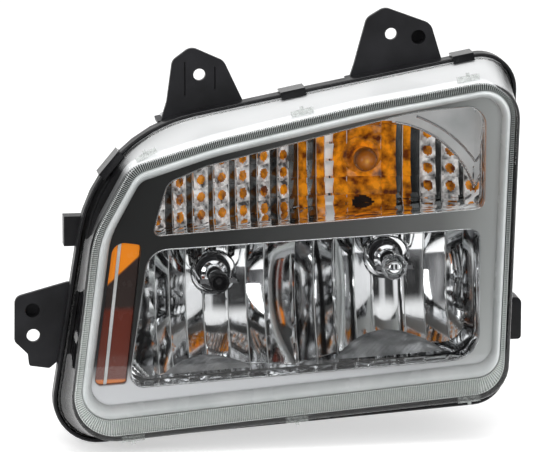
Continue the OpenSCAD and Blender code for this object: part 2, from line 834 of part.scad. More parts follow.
module outer_top_bracket() {
    color([0.1, 0.1, 0.105]) place() difference() {
        bracket(outer_top_line, bracket_feet[0]);
        rod(outer_top_hole, top_bolt_r, back_y - eps, back_y + plate + eps);
        block([-78.6, 129], [1.2, 27], back_y - eps, back_y + 1.2);
        block([-54.7, 129], [1.2, 18], back_y - eps, back_y + 1.2);
    }
}

module inner_top_bracket() {
    color([0.1, 0.1, 0.105]) place() {
        difference() {
            bracket(inner_top_line, bracket_feet[1]);
            rod(inner_top_hole, top_bolt_r, back_y - eps, back_y + plate + eps);
            rod(inner_locator, locator_r, back_y - eps, back_y + plate + eps);
        }
        locator(inner_locator);
    }
}

module side_bracket() {
    color([0.1, 0.1, 0.105]) place() {
        difference() {
            bracket(side_line, bracket_feet[2]);
            rod(side_hole, side_bolt_r, back_y - eps, back_y + plate + eps);
            rod(side_locator, locator_r, back_y - eps, back_y + plate + eps);
        }
        locator(side_locator);
    }
}

module bracket_screws() {
    color([0.6, 0.6, 0.62]) place() for (f = bracket_feet, s = [-1, 1]) on_edge(f)
        translate([s * (f[3] / 2 - 8), back_y + foot_screw_y, -foot_drop]) {
            cylinder(h = 3, r = 4);
            translate([0, 0, -8]) cylinder(h = 8, r = screw_r);
        }
}

housing();
lens();
lens_seal();
lens_clips();
bezel();
bezel_screws();
fluted_ring();
light_guide();
window_trim();
side_reflex();
side_divider();
beam_reflector();
low_beam_shield();
low_bulb_glass();
low_bulb_base();
low_bulb_seal();
high_beam_shield();
high_bulb_glass();
high_bulb_base();
high_bulb_seal();
turn_reflector();
reflector_screws();
turn_bulb();
turn_socket();
turn_gasket();
marker_bulb();
marker_socket();
marker_gasket();
low_cap();
low_cap_seal();
high_cap();
high_cap_seal();
pivot_stud();
pivot_barrel();
vertical_adjuster();
vertical_drive();
vertical_stud();
vertical_socket();
horizontal_adjuster();
horizontal_drive();
horizontal_stud();
horizontal_socket();
adjuster_screws();
harness_connector();
vent_caps();
outer_top_bracket();
inner_top_bracket();
side_bracket();
bracket_screws();
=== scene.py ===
import json
import math

import bmesh
import bpy
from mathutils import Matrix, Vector

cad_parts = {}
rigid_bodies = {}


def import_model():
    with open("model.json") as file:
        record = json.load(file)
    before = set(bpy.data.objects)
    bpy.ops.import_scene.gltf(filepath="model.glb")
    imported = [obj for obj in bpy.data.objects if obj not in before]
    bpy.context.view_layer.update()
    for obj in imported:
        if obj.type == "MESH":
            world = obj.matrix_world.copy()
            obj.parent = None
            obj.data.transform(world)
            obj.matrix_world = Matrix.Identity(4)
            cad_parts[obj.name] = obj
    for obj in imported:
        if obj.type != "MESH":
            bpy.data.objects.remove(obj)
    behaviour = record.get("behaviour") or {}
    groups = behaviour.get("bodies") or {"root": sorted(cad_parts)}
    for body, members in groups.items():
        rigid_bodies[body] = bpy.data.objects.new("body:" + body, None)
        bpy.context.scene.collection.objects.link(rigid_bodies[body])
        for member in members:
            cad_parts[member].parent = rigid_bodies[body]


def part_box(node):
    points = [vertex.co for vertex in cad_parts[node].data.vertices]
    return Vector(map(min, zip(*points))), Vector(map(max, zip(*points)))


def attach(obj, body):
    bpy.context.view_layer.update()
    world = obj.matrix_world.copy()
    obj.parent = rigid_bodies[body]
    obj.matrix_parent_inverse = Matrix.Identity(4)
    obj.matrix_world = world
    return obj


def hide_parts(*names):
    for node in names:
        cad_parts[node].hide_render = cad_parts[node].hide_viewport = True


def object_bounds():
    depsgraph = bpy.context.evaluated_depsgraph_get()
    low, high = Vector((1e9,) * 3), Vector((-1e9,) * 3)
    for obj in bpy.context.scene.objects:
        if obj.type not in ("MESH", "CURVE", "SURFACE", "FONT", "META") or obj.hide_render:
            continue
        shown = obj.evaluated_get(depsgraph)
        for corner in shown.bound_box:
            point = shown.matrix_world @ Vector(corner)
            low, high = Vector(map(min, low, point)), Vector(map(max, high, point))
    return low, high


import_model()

MM = 0.001
cad_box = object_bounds()

# ---------------------------------------------------------------- outlines, as in the CAD, in mm
# Corners are [x, z, radius], anticlockwise from the front, from the centre of the trim ring.
FLANGE = [[-193, -164, 36], [178, -139, 28], [186, 152, 29], [20, 121.5, 1500], [-152.5, 88.5, 115]]
RING = [[-177, -151, 32], [170.5, -122.5, 26], [179, 132.5, 28],
        [60.5, 113.5, 700], [-60.5, 87.5, 300], [-126.5, 68, 22], [-156.5, 13, 80]]
BEAD = [[-170.5, -137.5, 24], [167.5, -109.5, 20], [176, 126, 22],
        [60.5, 108, 700], [-60.5, 82, 300], [-122.5, 63, 20], [-151, 12.5, 72]]
GROOVE = [[-161, -125, 16], [161, -98.5, 14], [168, 118.5, 16],
          [60.5, 100, 700], [-60.5, 74, 300], [-119, 55.5, 14], [-142.5, 12.5, 64]]
UPPER = [[-109, 12, 4], [154.5, 26.5, 8], [155, 110, 15],
         [96, 105, 150], [-66.5, 66.5, 60], [-97, 54, 12], [-105, 28.5, 30]]
LOWER = [[-129, -110, 10], [151, -95, 22], [151, 10, 7], [-112.5, 0, 18]]
SIDE = [[-156.5, -108, 5], [-131, -106.5, 3], [-118.5, 5, 3], [-140.5, 8, 10]]

LOW_AXIS, HIGH_AXIS, TURN_AXIS = Vector((90.5, -29.5)), Vector((-52, -35.5)), Vector((66.5, 59.5))
GLOBE_RADIUS, GLOBE_Y = 10.0, 52

ARC_STEP = math.radians(5)


def rounded(line):
    """Points of a rounded outline."""
    points = []
    count = len(line)
    for i, (bx, bz, r) in enumerate(line):
        b = Vector((bx, bz))
        to_a = (Vector(line[i - 1][:2]) - b).normalized()
        to_c = (Vector(line[(i + 1) % count][:2]) - b).normalized()
        half = math.acos(to_a.dot(to_c)) / 2
        centre = b + (to_a + to_c).normalized() * r / math.sin(half)
        p = b + to_a * r / math.tan(half) - centre
        q = b + to_c * r / math.tan(half) - centre
        start = math.atan2(p.y, p.x)
        sweep = math.atan2(q.y, q.x) - start
        sweep = (sweep + math.pi) % (2 * math.pi) - math.pi
        steps = max(3, math.ceil(abs(sweep) / ARC_STEP))
        for k in range(steps + 1):
            angle = start + sweep * k / steps
            points.append(centre + r * Vector((math.cos(angle), math.sin(angle))))
    return points


def inset(line, d):
    """The outline moved inwards by d."""
    moved = []
    count = len(line)
    for i, (bx, bz, r) in enumerate(line):
        b = Vector((bx, bz))
        to_a = (Vector(line[i - 1][:2]) - b).normalized()
        to_c = (Vector(line[(i + 1) % count][:2]) - b).normalized()
        half = math.acos(to_a.dot(to_c)) / 2
        p = b + (to_a + to_c).normalized() * d / math.sin(half)
        moved.append([p.x, p.y, max(1, r - d)])
    return moved


# The ring's own box says where the outlines' origin is in the frame
ring_points = rounded(RING)
ring_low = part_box("fluted_ring")[0]
ORIGIN = Vector((ring_low[0] - min(p.x for p in ring_points) * MM, ring_low[1],
                 ring_low[2] - min(p.y for p in ring_points) * MM))


def place(x, y, z):
    """Millimetres from the ring's centre to metres in the frame."""
    return ORIGIN + Vector((x, y, z)) * MM


def walk(line, pitch):
    """Evenly spaced points along a rounded outline, each with its outward normal."""
    points = rounded(line)
    count = len(points)
    total = sum((points[(i + 1) % count] - points[i]).length for i in range(count))
    steps = round(total / pitch)
    gap = total / steps
    result = []
    carry = 0.0
    for i in range(count):
        a, b = points[i], points[(i + 1) % count]
        length = (b - a).length
        if length < 1e-9:
            continue
        along = (b - a) / length
        while carry < length - 1e-9 and len(result) < steps:
            result.append((a + along * carry, Vector((along.y, -along.x))))
            carry += gap
        carry -= length
    smooth = []
    spread = 2
    for i, (p, _) in enumerate(result):
        normal = sum((result[(i + k) % len(result)][1] for k in range(-spread, spread + 1)), Vector((0, 0)))
        smooth.append((p, normal.normalized()))
    return smooth


def reach(p, normal, points):
    """Signed distance from p along normal to the outline, the nearest crossing."""
    best = None
    count = len(points)
    for i in range(count):
        a, b = points[i], points[(i + 1) % count]
        edge = b - a
        det = normal.x * -edge.y + edge.x * normal.y
        if abs(det) < 1e-9:
            continue
        d = a - p
        t = (d.x * -edge.y + edge.x * d.y) / det
        s = (normal.x * d.y - normal.y * d.x) / det
        if -1e-6 <= s <= 1 + 1e-6 and (best is None or abs(t) < abs(best)):
            best = t
    return best


def inside(points, x, z):
    """True if a point is within an outline."""
    hit = False
    count = len(points)
    for i in range(count):
        a, b = points[i], points[(i + 1) % count]
        if (a.y > z) != (b.y > z) and x < (b.x - a.x) * (z - a.y) / (b.y - a.y) + a.x:
            hit = not hit
    return hit


# ---------------------------------------------------------------- materials
def new_material(name):
    mat = bpy.data.materials.new(name)
    mat.use_nodes = True
    nodes = mat.node_tree.nodes
    return mat, mat.node_tree, nodes["Principled BSDF"]


def set_in(node, **values):
    for key, value in values.items():
        node.inputs[key.replace("_", " ")].default_value = value


def add_noise(tree, scale, detail=3.0):
    """Noise in the frame's own metres."""
    coord = tree.nodes.new("ShaderNodeTexCoord")
    tex = tree.nodes.new("ShaderNodeTexNoise")
    set_in(tex, Scale=scale, Detail=detail)
    tree.links.new(coord.outputs["Object"], tex.inputs["Vector"])
    return tex


def vary(tree, socket, low, high, scale):
    """Drive a value by noise between low and high."""
    tex = add_noise(tree, scale)
    span = tree.nodes.new("ShaderNodeMapRange")
    set_in(span, From_Min=0.3, From_Max=0.7, To_Min=low, To_Max=high)
    tree.links.new(tex.outputs["Fac"], span.inputs["Value"])
    tree.links.new(span.outputs["Result"], socket)


def add_bump(tree, shader, scale, strength, distance):
    """Fine relief from noise."""
    tex = add_noise(tree, scale)
    bump = tree.nodes.new("ShaderNodeBump")
    set_in(bump, Strength=strength, Distance=distance)
    tree.links.new(tex.outputs["Fac"], bump.inputs["Height"])
    tree.links.new(bump.outputs["Normal"], shader.inputs["Normal"])


def tone_ramp(tree, factor, stops):
    """Colour along a factor, from (position, colour) pairs."""
    ramp = tree.nodes.new("ShaderNodeValToRGB")
    elements = ramp.color_ramp.elements
    while len(elements) < len(stops):
        elements.new(0.5)
    for element, (position, colour) in zip(elements, stops):
        element.position = position
        element.color = (*colour, 1)
    tree.links.new(factor, ramp.inputs["Fac"])
    return ramp.outputs["Color"]


def two_tone(tree, shader, dark, light, scale):
    """Colour that drifts between two tones."""
    tex = add_noise(tree, scale, 4.0)
    colour = tone_ramp(tree, tex.outputs["Fac"], [(0.35, dark), (0.65, light)])
    tree.links.new(colour, shader.inputs["Base Color"])


def plastic(name, dark, light, rough, grain=900, strength=0.15, coat=0.0, shine=0.5):
    mat, tree, shader = new_material(name)
    two_tone(tree, shader, dark, light, 30)
    vary(tree, shader.inputs["Roughness"], rough - 0.06, rough + 0.06, 45)
    add_bump(tree, shader, grain, strength, 0.0001)
    set_in(shader, Specular_IOR_Level=shine, Coat_Weight=coat, Coat_Roughness=0.08)
    return mat


def metal(name, dark, light, rough, grain=400, strength=0.05):
    mat, tree, shader = new_material(name)
    shader.inputs["Metallic"].default_value = 1.0
    two_tone(tree, shader, dark, light, 25)
    vary(tree, shader.inputs["Roughness"], max(0.01, rough * 0.75), rough * 1.25, 60)
    if strength:
        add_bump(tree, shader, grain, strength, 0.00008)
    return mat


def clear_skin(name, tint, ior, sky=0.0):
    """Thin clear moulding with a glossy surface; its top walls can get a painted white sky reflection."""
    mat, tree, shader = new_material(name)
    nodes, links = tree.nodes, tree.links
    set_in(shader, Base_Color=(1, 1, 1, 1), Metallic=1.0, IOR=ior)
    vary(tree, shader.inputs["Roughness"], 0.01, 0.03, 20)
    clear = nodes.new("ShaderNodeBsdfTransparent")
    clear.inputs["Color"].default_value = (*tint, 1)
    fresnel = nodes.new("ShaderNodeFresnel")
    fresnel.inputs["IOR"].default_value = ior
    mix = nodes.new("ShaderNodeMixShader")
    links.new(fresnel.outputs["Fac"], mix.inputs["Fac"])
    links.new(clear.outputs["BSDF"], mix.inputs[1])
    links.new(shader.outputs["BSDF"], mix.inputs[2])
    skin = mix.outputs["Shader"]
    if sky:
        # Painted sky reflection: a white glossy coat mixed in where the surface faces up.
        painted_sky_sheen = nodes.new("ShaderNodeBsdfPrincipled")
        set_in(painted_sky_sheen, Base_Color=(0.80, 0.81, 0.815, 1), Roughness=0.2)
        top = nodes.new("ShaderNodeMath")
        top.operation = "MULTIPLY"
        top.inputs[1].default_value = sky
        links.new(ramp_over(tree, surface_axis(tree, "Z"), 0.55, 0.9), top.inputs[0])
        cover = nodes.new("ShaderNodeMixShader")
        links.new(top.outputs[0], cover.inputs["Fac"])
        links.new(skin, cover.inputs[1])
        links.new(painted_sky_sheen.outputs["BSDF"], cover.inputs[2])
        skin = cover.outputs["Shader"]
    links.new(skin, nodes["Material Output"].inputs["Surface"])
    return mat


def amber_glass(name, base, dark):
    mat, tree, shader = new_material(name)
    two_tone(tree, shader, dark, base, 120)
    set_in(shader, IOR=1.5, Transmission_Weight=0.25, Coat_Weight=1.0, Coat_Roughness=0.03)
    # Painted glow: the bulb is not lit, the emission only brightens its amber.
    shader.inputs["Emission Color"].default_value = (*base, 1)
    shader.inputs["Emission Strength"].default_value = 0.25
    vary(tree, shader.inputs["Roughness"], 0.08, 0.16, 80)
    return mat


def object_axis(tree, axis):
    """One coordinate of the frame, in metres."""
    coord = tree.nodes.new("ShaderNodeTexCoord")
    split = tree.nodes.new("ShaderNodeSeparateXYZ")
    tree.links.new(coord.outputs["Object"], split.inputs["Vector"])
    return split.outputs[axis]


def ramp_over(tree, source, start, end, shape="SMOOTHSTEP"):
    """0 to 1 as source goes from start to end."""
    span = tree.nodes.new("ShaderNodeMapRange")
    span.interpolation_type = shape
    span.inputs["From Min"].default_value = start
    span.inputs["From Max"].default_value = end
    tree.links.new(source, span.inputs["Value"])
    return span.outputs["Result"]


def blend_colour(tree, factor, first, second):
    """Mix two colours; either may be a socket."""
    mix = tree.nodes.new("ShaderNodeMix")
    mix.data_type = "RGBA"
    tree.links.new(factor, mix.inputs["Factor"])
    for socket, value in (("A", first), ("B", second)):
        target = [s for s in mix.inputs if s.name == socket and s.type == "RGBA"][0]
        if isinstance(value, tuple):
            target.default_value = (*value, 1)
        else:
            tree.links.new(value, target)
    return [s for s in mix.outputs if s.type == "RGBA"][0]


def multiply(tree, a, b):
    node = tree.nodes.new("ShaderNodeMath")
    node.operation = "MULTIPLY"
    tree.links.new(a, node.inputs[0])
    tree.links.new(b, node.inputs[1])
    return node.outputs[0]


def amber_facet():
    """Mirror facet painted with the amber bulb's reflection and a painted glow, with darker flecks."""
    mat, tree, shader = new_material("amber_facet")
    two_tone(tree, shader, (0.09, 0.016, 0.0), (0.95, 0.34, 0.008), 110)
    colour = shader.inputs["Base Color"].links[0].from_socket
    tree.links.new(colour, shader.inputs["Emission Color"])
    set_in(shader, Emission_Strength=0.28, Coat_Weight=0.8, Coat_Roughness=0.04)
    vary(tree, shader.inputs["Roughness"], 0.1, 0.2, 200)
    add_bump(tree, shader, 260, 0.5, 0.0006)
    return mat


def half_metal(name, dark, light, scale, glow, metallic=0.55):
    """Metallic coating with a painted glow: emission in its own colour stands in for the light it reflects.
    """
    mat, tree, shader = new_material(name)
    two_tone(tree, shader, dark, light, scale)
    tree.links.new(shader.inputs["Base Color"].links[0].from_socket, shader.inputs["Emission Color"])
    set_in(shader, Metallic=metallic, Emission_Strength=glow)
    vary(tree, shader.inputs["Roughness"], 0.1, 0.18, 60)
    return mat


def frosted_clear():
    """Half clear, half milky."""
    mat, tree, shader = new_material("frosted_clear")
    two_tone(tree, shader, (0.30, 0.33, 0.31), (0.62, 0.65, 0.63), 350)
    vary(tree, shader.inputs["Roughness"], 0.15, 0.35, 200)
    clear = tree.nodes.new("ShaderNodeBsdfTransparent")
    mix = tree.nodes.new("ShaderNodeMixShader")
    mix.inputs["Fac"].default_value = 0.4
    tree.links.new(clear.outputs["BSDF"], mix.inputs[1])
    tree.links.new(shader.outputs["BSDF"], mix.inputs[2])
    tree.links.new(mix.outputs["Shader"], tree.nodes["Material Output"].inputs["Surface"])
    return mat


def satin_trim():
    """Satin metallised trim with painted light: painted shade at the outboard end, lighter towards the
    middle of the vehicle, and a painted pale sheen along the bottom.
    """
    mat, tree, shader = new_material("satin_trim")
    shader.inputs["Metallic"].default_value = 0.35
    x = object_axis(tree, "X")
    z = object_axis(tree, "Z")
    across = ramp_over(tree, x, place(-130, 0, 0).x, place(175, 0, 0).x, "LINEAR")
    # Painted shade: the trim darkens towards the outboard end and lightens towards the middle.
    levels = [(0.0, 0.03), (0.23, 0.05), (0.43, 0.12), (0.62, 0.19), (0.82, 0.33), (0.92, 0.58), (1.0, 0.74)]
    painted_shade_tones = tone_ramp(tree, across, [(at, (level * 0.97, level, level * 0.985)) for at, level in levels])
    # Painted reflection: pale towards the bottom.
    low = ramp_over(tree, z, place(0, 0, -88).z, place(0, 0, -108).z)
    face = blend_colour(tree, low, painted_shade_tones, (0.70, 0.71, 0.73))
    tree.links.new(face, shader.inputs["Base Color"])
    vary(tree, shader.inputs["Roughness"], 0.30, 0.32, 50)
    add_bump(tree, shader, 1500, 0.12, 0.00005)
    return mat


def surface_axis(tree, axis):
    """One part of the surface's own direction."""
    geometry = tree.nodes.new("ShaderNodeNewGeometry")
    split = tree.nodes.new("ShaderNodeSeparateXYZ")
    tree.links.new(geometry.outputs["Normal"], split.inputs["Vector"])
    return split.outputs[axis]


def rib_plastic(name, low, high):
    """Clear rib moulding with painted light: one tone at the bottom of the lamp and another at the top."""
    mat, tree, shader = new_material(name)
    up = ramp_over(tree, object_axis(tree, "Z"), place(0, 0, -70).z, place(0, 0, 70).z)
    tree.links.new(blend_colour(tree, up, low, high), shader.inputs["Base Color"])
    set_in(shader, Coat_Weight=0.5, Coat_Roughness=0.05)
    vary(tree, shader.inputs["Roughness"], 0.15, 0.25, 300)
    return mat


def skirt_paint():
    """Side of the trim with painted light: a painted sky reflection where it faces up, painted shade round
    the rest.
    """
    mat, tree, shader = new_material("trim_skirt")
    up = ramp_over(tree, surface_axis(tree, "Z"), 0.35, 0.85)
    colour = blend_colour(tree, up, (0.02, 0.02, 0.021), (0.92, 0.93, 0.94))
    tree.links.new(colour, shader.inputs["Base Color"])
    vary(tree, shader.inputs["Roughness"], 0.3, 0.4, 40)
    add_bump(tree, shader, 500, 0.1, 0.0001)
    return mat


def turn_bulb_glass():
    """Amber globe with painted light: from the front a painted dark ring round a painted highlight in the
    middle, bright amber on its sides and back, and a painted glow throughout.
    """
    mat, tree, shader = new_material("turn_bulb_glass")
    middle = place(TURN_AXIS.x, 0, TURN_AXIS.y)
    coord = tree.nodes.new("ShaderNodeTexCoord")
    shift = tree.nodes.new("ShaderNodeVectorMath")
    shift.operation = "SUBTRACT"
    shift.inputs[1].default_value = middle
    tree.links.new(coord.outputs["Object"], shift.inputs[0])
    flat = tree.nodes.new("ShaderNodeVectorMath")
    flat.operation = "MULTIPLY"
    flat.inputs[1].default_value = (1, 0, 1)
    tree.links.new(shift.outputs["Vector"], flat.inputs[0])
    radius = tree.nodes.new("ShaderNodeVectorMath")
    radius.operation = "LENGTH"
    tree.links.new(flat.outputs["Vector"], radius.inputs[0])
    outward = ramp_over(tree, radius.outputs["Value"], 0.0, 1.05 * GLOBE_RADIUS * MM, "LINEAR")
    # Painted highlight in the middle, fading to a painted dark ring at the edge.
    ring = tone_ramp(tree, outward, [(0.0, (1.0, 0.50, 0.06)), (0.25, (0.60, 0.19, 0.008)),
                                     (0.66, (0.34, 0.09, 0.003)), (0.84, (0.03, 0.008, 0.002))])
    back = ramp_over(tree, object_axis(tree, "Y"), place(0, GLOBE_Y - 1, 0).y, place(0, GLOBE_Y + 1, 0).y)
    colour = blend_colour(tree, back, ring, (0.55, 0.13, 0.002))
    # Painted glow, strongest on the back of the globe.
    glow = blend_colour(tree, back, (0.16, 0.045, 0.001), (1.0, 0.30, 0.004))
    tree.links.new(colour, shader.inputs["Base Color"])
    tree.links.new(glow, shader.inputs["Emission Color"])
    set_in(shader, Coat_Weight=0.5, Coat_Roughness=0.03, Emission_Strength=0.4)
    vary(tree, shader.inputs["Roughness"], 0.08, 0.14, 80)
    return mat


def reflex_amber():
    """Amber panel with painted light: a painted highlight at the top, dark in the middle, red-brown below,
    and a painted glow over all of it.
    """
    mat, tree, shader = new_material("reflex_amber")
    z = object_axis(tree, "Z")
    x = object_axis(tree, "X")
    slant = tree.nodes.new("ShaderNodeMath")
    slant.operation = "MULTIPLY_ADD"
    slant.inputs[1].default_value = -0.9
    tree.links.new(x, slant.inputs[0])
    tree.links.new(z, slant.inputs[2])
    edge = place(0, 0, -14).z - 0.9 * place(-130, 0, 0).x
    bright = ramp_over(tree, slant.outputs[0], edge - 0.0015, edge + 0.0015)
    low = ramp_over(tree, z, place(0, 0, -44).z, place(0, 0, -50).z)
    foot = ramp_over(tree, z, place(0, 0, -103).z, place(0, 0, -105).z)
    body = blend_colour(tree, low, (0.030, 0.018, 0.015), (0.12, 0.016, 0.005))
    body = blend_colour(tree, foot, body, (0.65, 0.17, 0.01))
    # Painted highlight along the top band, and a painted glow over the panel.
    colour = blend_colour(tree, bright, body, (0.95, 0.27, 0.004))
    tree.links.new(colour, shader.inputs["Base Color"])
    tree.links.new(colour, shader.inputs["Emission Color"])
    set_in(shader, Emission_Strength=0.3, Specular_IOR_Level=0.3, Coat_Weight=0.4, Coat_Roughness=0.04)
    vary(tree, shader.inputs["Roughness"], 0.15, 0.3, 90)
    add_bump(tree, shader, 350, 0.2, 0.0002)
    return mat


black_moulding = plastic("black_moulding", (0.008, 0.008, 0.009), (0.016, 0.016, 0.017), 0.36, 1400, 0.12,
                         shine=0.16)
gloss_black = plastic("gloss_black", (0.006, 0.006, 0.007), (0.012, 0.012, 0.013), 0.16, 600, 0.05,
                      shine=0.35)
bracket_paint = plastic("bracket_paint", (0.012, 0.012, 0.013), (0.018, 0.018, 0.020), 0.42, 2200, 0.3,
                        shine=0.12)
rubber = plastic("rubber_black", (0.015, 0.015, 0.015), (0.03, 0.03, 0.03), 0.7, 1200, 0.3)
red_seal = plastic("seal_red", (0.25, 0.03, 0.015), (0.4, 0.06, 0.03), 0.6, 1200, 0.2)
base_plastic = plastic("bulb_base_plastic", (0.03, 0.03, 0.033), (0.06, 0.06, 0.063), 0.45, 1600, 0.2)
nylon = plastic("natural_nylon", (0.55, 0.53, 0.46), (0.72, 0.70, 0.63), 0.45, 900, 0.15)
steel = metal("plated_steel", (0.45, 0.45, 0.46), (0.65, 0.65, 0.66), 0.28, 700, 0.1)
chrome = metal("bright_chrome", (0.86, 0.87, 0.88), (0.95, 0.955, 0.96), 0.06, strength=0)
mirror = metal("mirror_coat", (0.86, 0.87, 0.88), (0.95, 0.955, 0.96), 0.06, strength=0)
satin = satin_trim()
skirt = skirt_paint()
# Painted light on the clear ribs: lighter at the bottom than at the top; the valleys get painted shade, near
# black at the top.
fluted = rib_plastic("fluted_clear", (0.86, 0.89, 0.87), (0.62, 0.65, 0.64))
fluted_valley_shade = rib_plastic("fluted_valley_shade", (0.52, 0.55, 0.53), (0.02, 0.021, 0.022))
guide = plastic("guide_satin", (0.66, 0.69, 0.69), (0.80, 0.82, 0.82), 0.25, 800, 0.08, 0.6)
amber_panel = reflex_amber()
turn_amber_painted_glow = turn_bulb_glass()
amber_bulb = amber_glass("amber_bulb_glass", (1.0, 0.30, 0.008), (0.75, 0.15, 0.003))
# The lens's top walls get the painted sky reflection.
lens_clear = clear_skin("lens_clear", (0.98, 0.985, 0.985), 1.5, 0.62)
frosted = frosted_clear()
quartz = clear_skin("bulb_quartz", (0.95, 0.96, 0.97), 1.5)
amber_reflection_paint = amber_facet()
# Painted light on the mirror facets: white and dark patches with a glow are painted reflections, the narrow
# columns are painted dark, and the pale corner and bowl floors get a painted glow.
facet_painted_reflection = half_metal("facet_painted_reflection", (0.06, 0.062, 0.063), (1.0, 1.0, 1.0), 130, 0.34, 0.2)
facet_painted_dark = metal("facet_painted_dark", (0.10, 0.105, 0.105), (0.32, 0.33, 0.33), 0.15, 300, 0.3)
edge_highlight_paint = plastic("edge_highlight_paint", (0.62, 0.64, 0.64), (0.92, 0.93, 0.93), 0.25, 200, 0.1)
pale_metal = half_metal("pale_metal", (0.62, 0.64, 0.64), (0.95, 0.96, 0.96), 18, 0.22)
dome_metal = half_metal("dome_metal", (0.40, 0.41, 0.42), (0.80, 0.81, 0.82), 60, 0.03)
tungsten = metal("tungsten_wire", (0.25, 0.24, 0.22), (0.4, 0.38, 0.36), 0.4)

NODE_LOOKS = {
    black_moulding: ["housing", "low_cap", "high_cap"],
    gloss_black: ["lens_clips", "high_beam_shield"],
    bracket_paint: ["outer_top_bracket", "inner_top_bracket", "side_bracket"],
    rubber: ["lens_seal", "turn_gasket", "marker_gasket", "low_cap_seal", "high_cap_seal", "vent_caps"],
    red_seal: ["low_bulb_seal", "high_bulb_seal"],
    base_plastic: ["low_bulb_base", "high_bulb_base", "turn_socket", "marker_socket", "harness_connector"],
    nylon: ["pivot_barrel", "vertical_adjuster", "vertical_drive", "vertical_socket",
            "horizontal_adjuster", "horizontal_drive", "horizontal_socket"],
    steel: ["bezel_screws", "reflector_screws", "adjuster_screws", "bracket_screws",
            "pivot_stud", "vertical_stud", "horizontal_stud"],
    mirror: ["beam_reflector", "turn_reflector"],
    chrome: ["low_beam_shield", "window_trim"],
    # The side divider takes the painted highlight in place of chrome.
    edge_highlight_paint: ["side_divider"],
    amber_bulb: ["marker_bulb"],
    turn_amber_painted_glow: ["turn_bulb"],
    quartz: ["low_bulb_glass", "high_bulb_glass"],
    satin: ["bezel"],
    fluted: ["fluted_ring"],
    guide: ["light_guide"],
    amber_panel: ["side_reflex"],
    lens_clear: ["lens"],
}


def node_object(name):
    return next(o for o in bpy.data.objects if o.name.split(".")[0] == name and o.type == "MESH")


for look, names in NODE_LOOKS.items():
    for name in names:
        mesh = node_object(name).data
        mesh.materials.clear()
        mesh.materials.append(look)


# ---------------------------------------------------------------- mesh helpers
def make(name, verts, faces, looks, body, sharp=35, face_looks=None):
    """One piece from points already in the frame, riding on a body."""
    mesh = bpy.data.meshes.new(name)
    mesh.from_pydata([tuple(v) for v in verts], [], faces)
    for look in looks if isinstance(looks, list) else [looks]:
        mesh.materials.append(look)
    if face_looks:
        for polygon, index in zip(mesh.polygons, face_looks):
            polygon.material_index = index
    work = bmesh.new()
    work.from_mesh(mesh)
    bmesh.ops.remove_doubles(work, verts=work.verts, dist=1e-7)
    bmesh.ops.recalc_face_normals(work, faces=work.faces)
    work.to_mesh(mesh)
    work.free()
    mesh.shade_smooth()
    mesh.set_sharp_from_angle(angle=math.radians(sharp))
    piece = bpy.data.objects.new(name, mesh)
    bpy.context.scene.collection.objects.link(piece)
    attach(piece, body)
    return piece


def join_rings(rings, loop=True, tube=False, start=0):
    """Faces between neighbouring rings of points."""
    faces = []
    count, width = len(rings), len(rings[0])
    for i in range(count if loop else count - 1):
        for j in range(width if tube else width - 1):
            k = (j + 1) % width
            here, there = start + i * width, start + (i + 1) % count * width
            faces.append((here + j, here + k, there + k, there + j))
    return faces


def swept(name, rings, look, body, loop=True, tube=False, sharp=35):
    """One piece from rings of points."""
    verts = [p for ring in rings for p in ring]
    return make(name, verts, join_rings(rings, loop, tube), look, body, sharp)


def lathe(profile, axis, segments=40):
    """Rings round an axis along Y, from (radius, y) pairs."""
    turns = [2 * math.pi * k / segments for k in range(segments)]
    return [[place(axis[0] + r * math.cos(a), y, axis[1] + r * math.sin(a)) for r, y in profile]
            for a in turns]


# ---------------------------------------------------------------- camera, floor and light
AZIMUTH, ELEVATION = math.radians(-8), math.radians(12)
MM_PER_PIXEL = 0.793
LENS_MM, SENSOR_MM = 300, 36
SCALE_PLANE = 30.0
IMAGE_W = 545
AIM_RIGHT, AIM_UP = -15.3, 17.6


def build_camera():
    away = Vector((math.sin(AZIMUTH) * math.cos(ELEVATION), -math.cos(AZIMUTH) * math.cos(ELEVATION),
                   math.sin(ELEVATION)))
    right = Vector((math.cos(AZIMUTH), math.sin(AZIMUTH), 0))
    up = right.cross(-away)
    target = ORIGIN + (right * AIM_RIGHT + up * AIM_UP) * MM
    distance = MM_PER_PIXEL * MM * IMAGE_W * LENS_MM / SENSOR_MM
    data = bpy.data.cameras.new("camera")
    data.lens = LENS_MM
    data.sensor_width = SENSOR_MM
    camera = bpy.data.objects.new("camera", data)
    camera.location = target + away * (distance - SCALE_PLANE * MM)
    camera.rotation_euler = (target - camera.location).to_track_quat("-Z", "Y").to_euler()
    bpy.context.scene.collection.objects.link(camera)
    bpy.context.scene.camera = camera


def build_floor():
    side, front, back = 4.0, -0.35, 8.0
    ground = cad_box[0][2] - 0.0005
    mesh = bpy.data.meshes.new("floor")
    corners = [(-side, front), (side, front), (side, back), (-side, back)]
    mesh.from_pydata([(x, y, ground) for x, y in corners], [], [(0, 1, 2, 3)])
    mat, tree, shader = new_material("floor_paper")
    two_tone(tree, shader, (0.55, 0.55, 0.55), (0.58, 0.58, 0.58), 2)
    set_in(shader, Roughness=0.6, Emission_Color=(1, 1, 1, 1), Emission_Strength=0.5)
    mesh.materials.append(mat)
    floor = bpy.data.objects.new("floor", mesh)
    bpy.context.scene.collection.objects.link(floor)


def area_light(name, where, look_at, size, energy):
    data = bpy.data.lights.new(name, "AREA")
    data.shape = "RECTANGLE"
    data.size, data.size_y = size
    data.energy = energy
    light = bpy.data.objects.new(name, data)
    light.location = where
    light.rotation_euler = (Vector(look_at) - Vector(where)).to_track_quat("-Z", "Y").to_euler()
    bpy.context.scene.collection.objects.link(light)


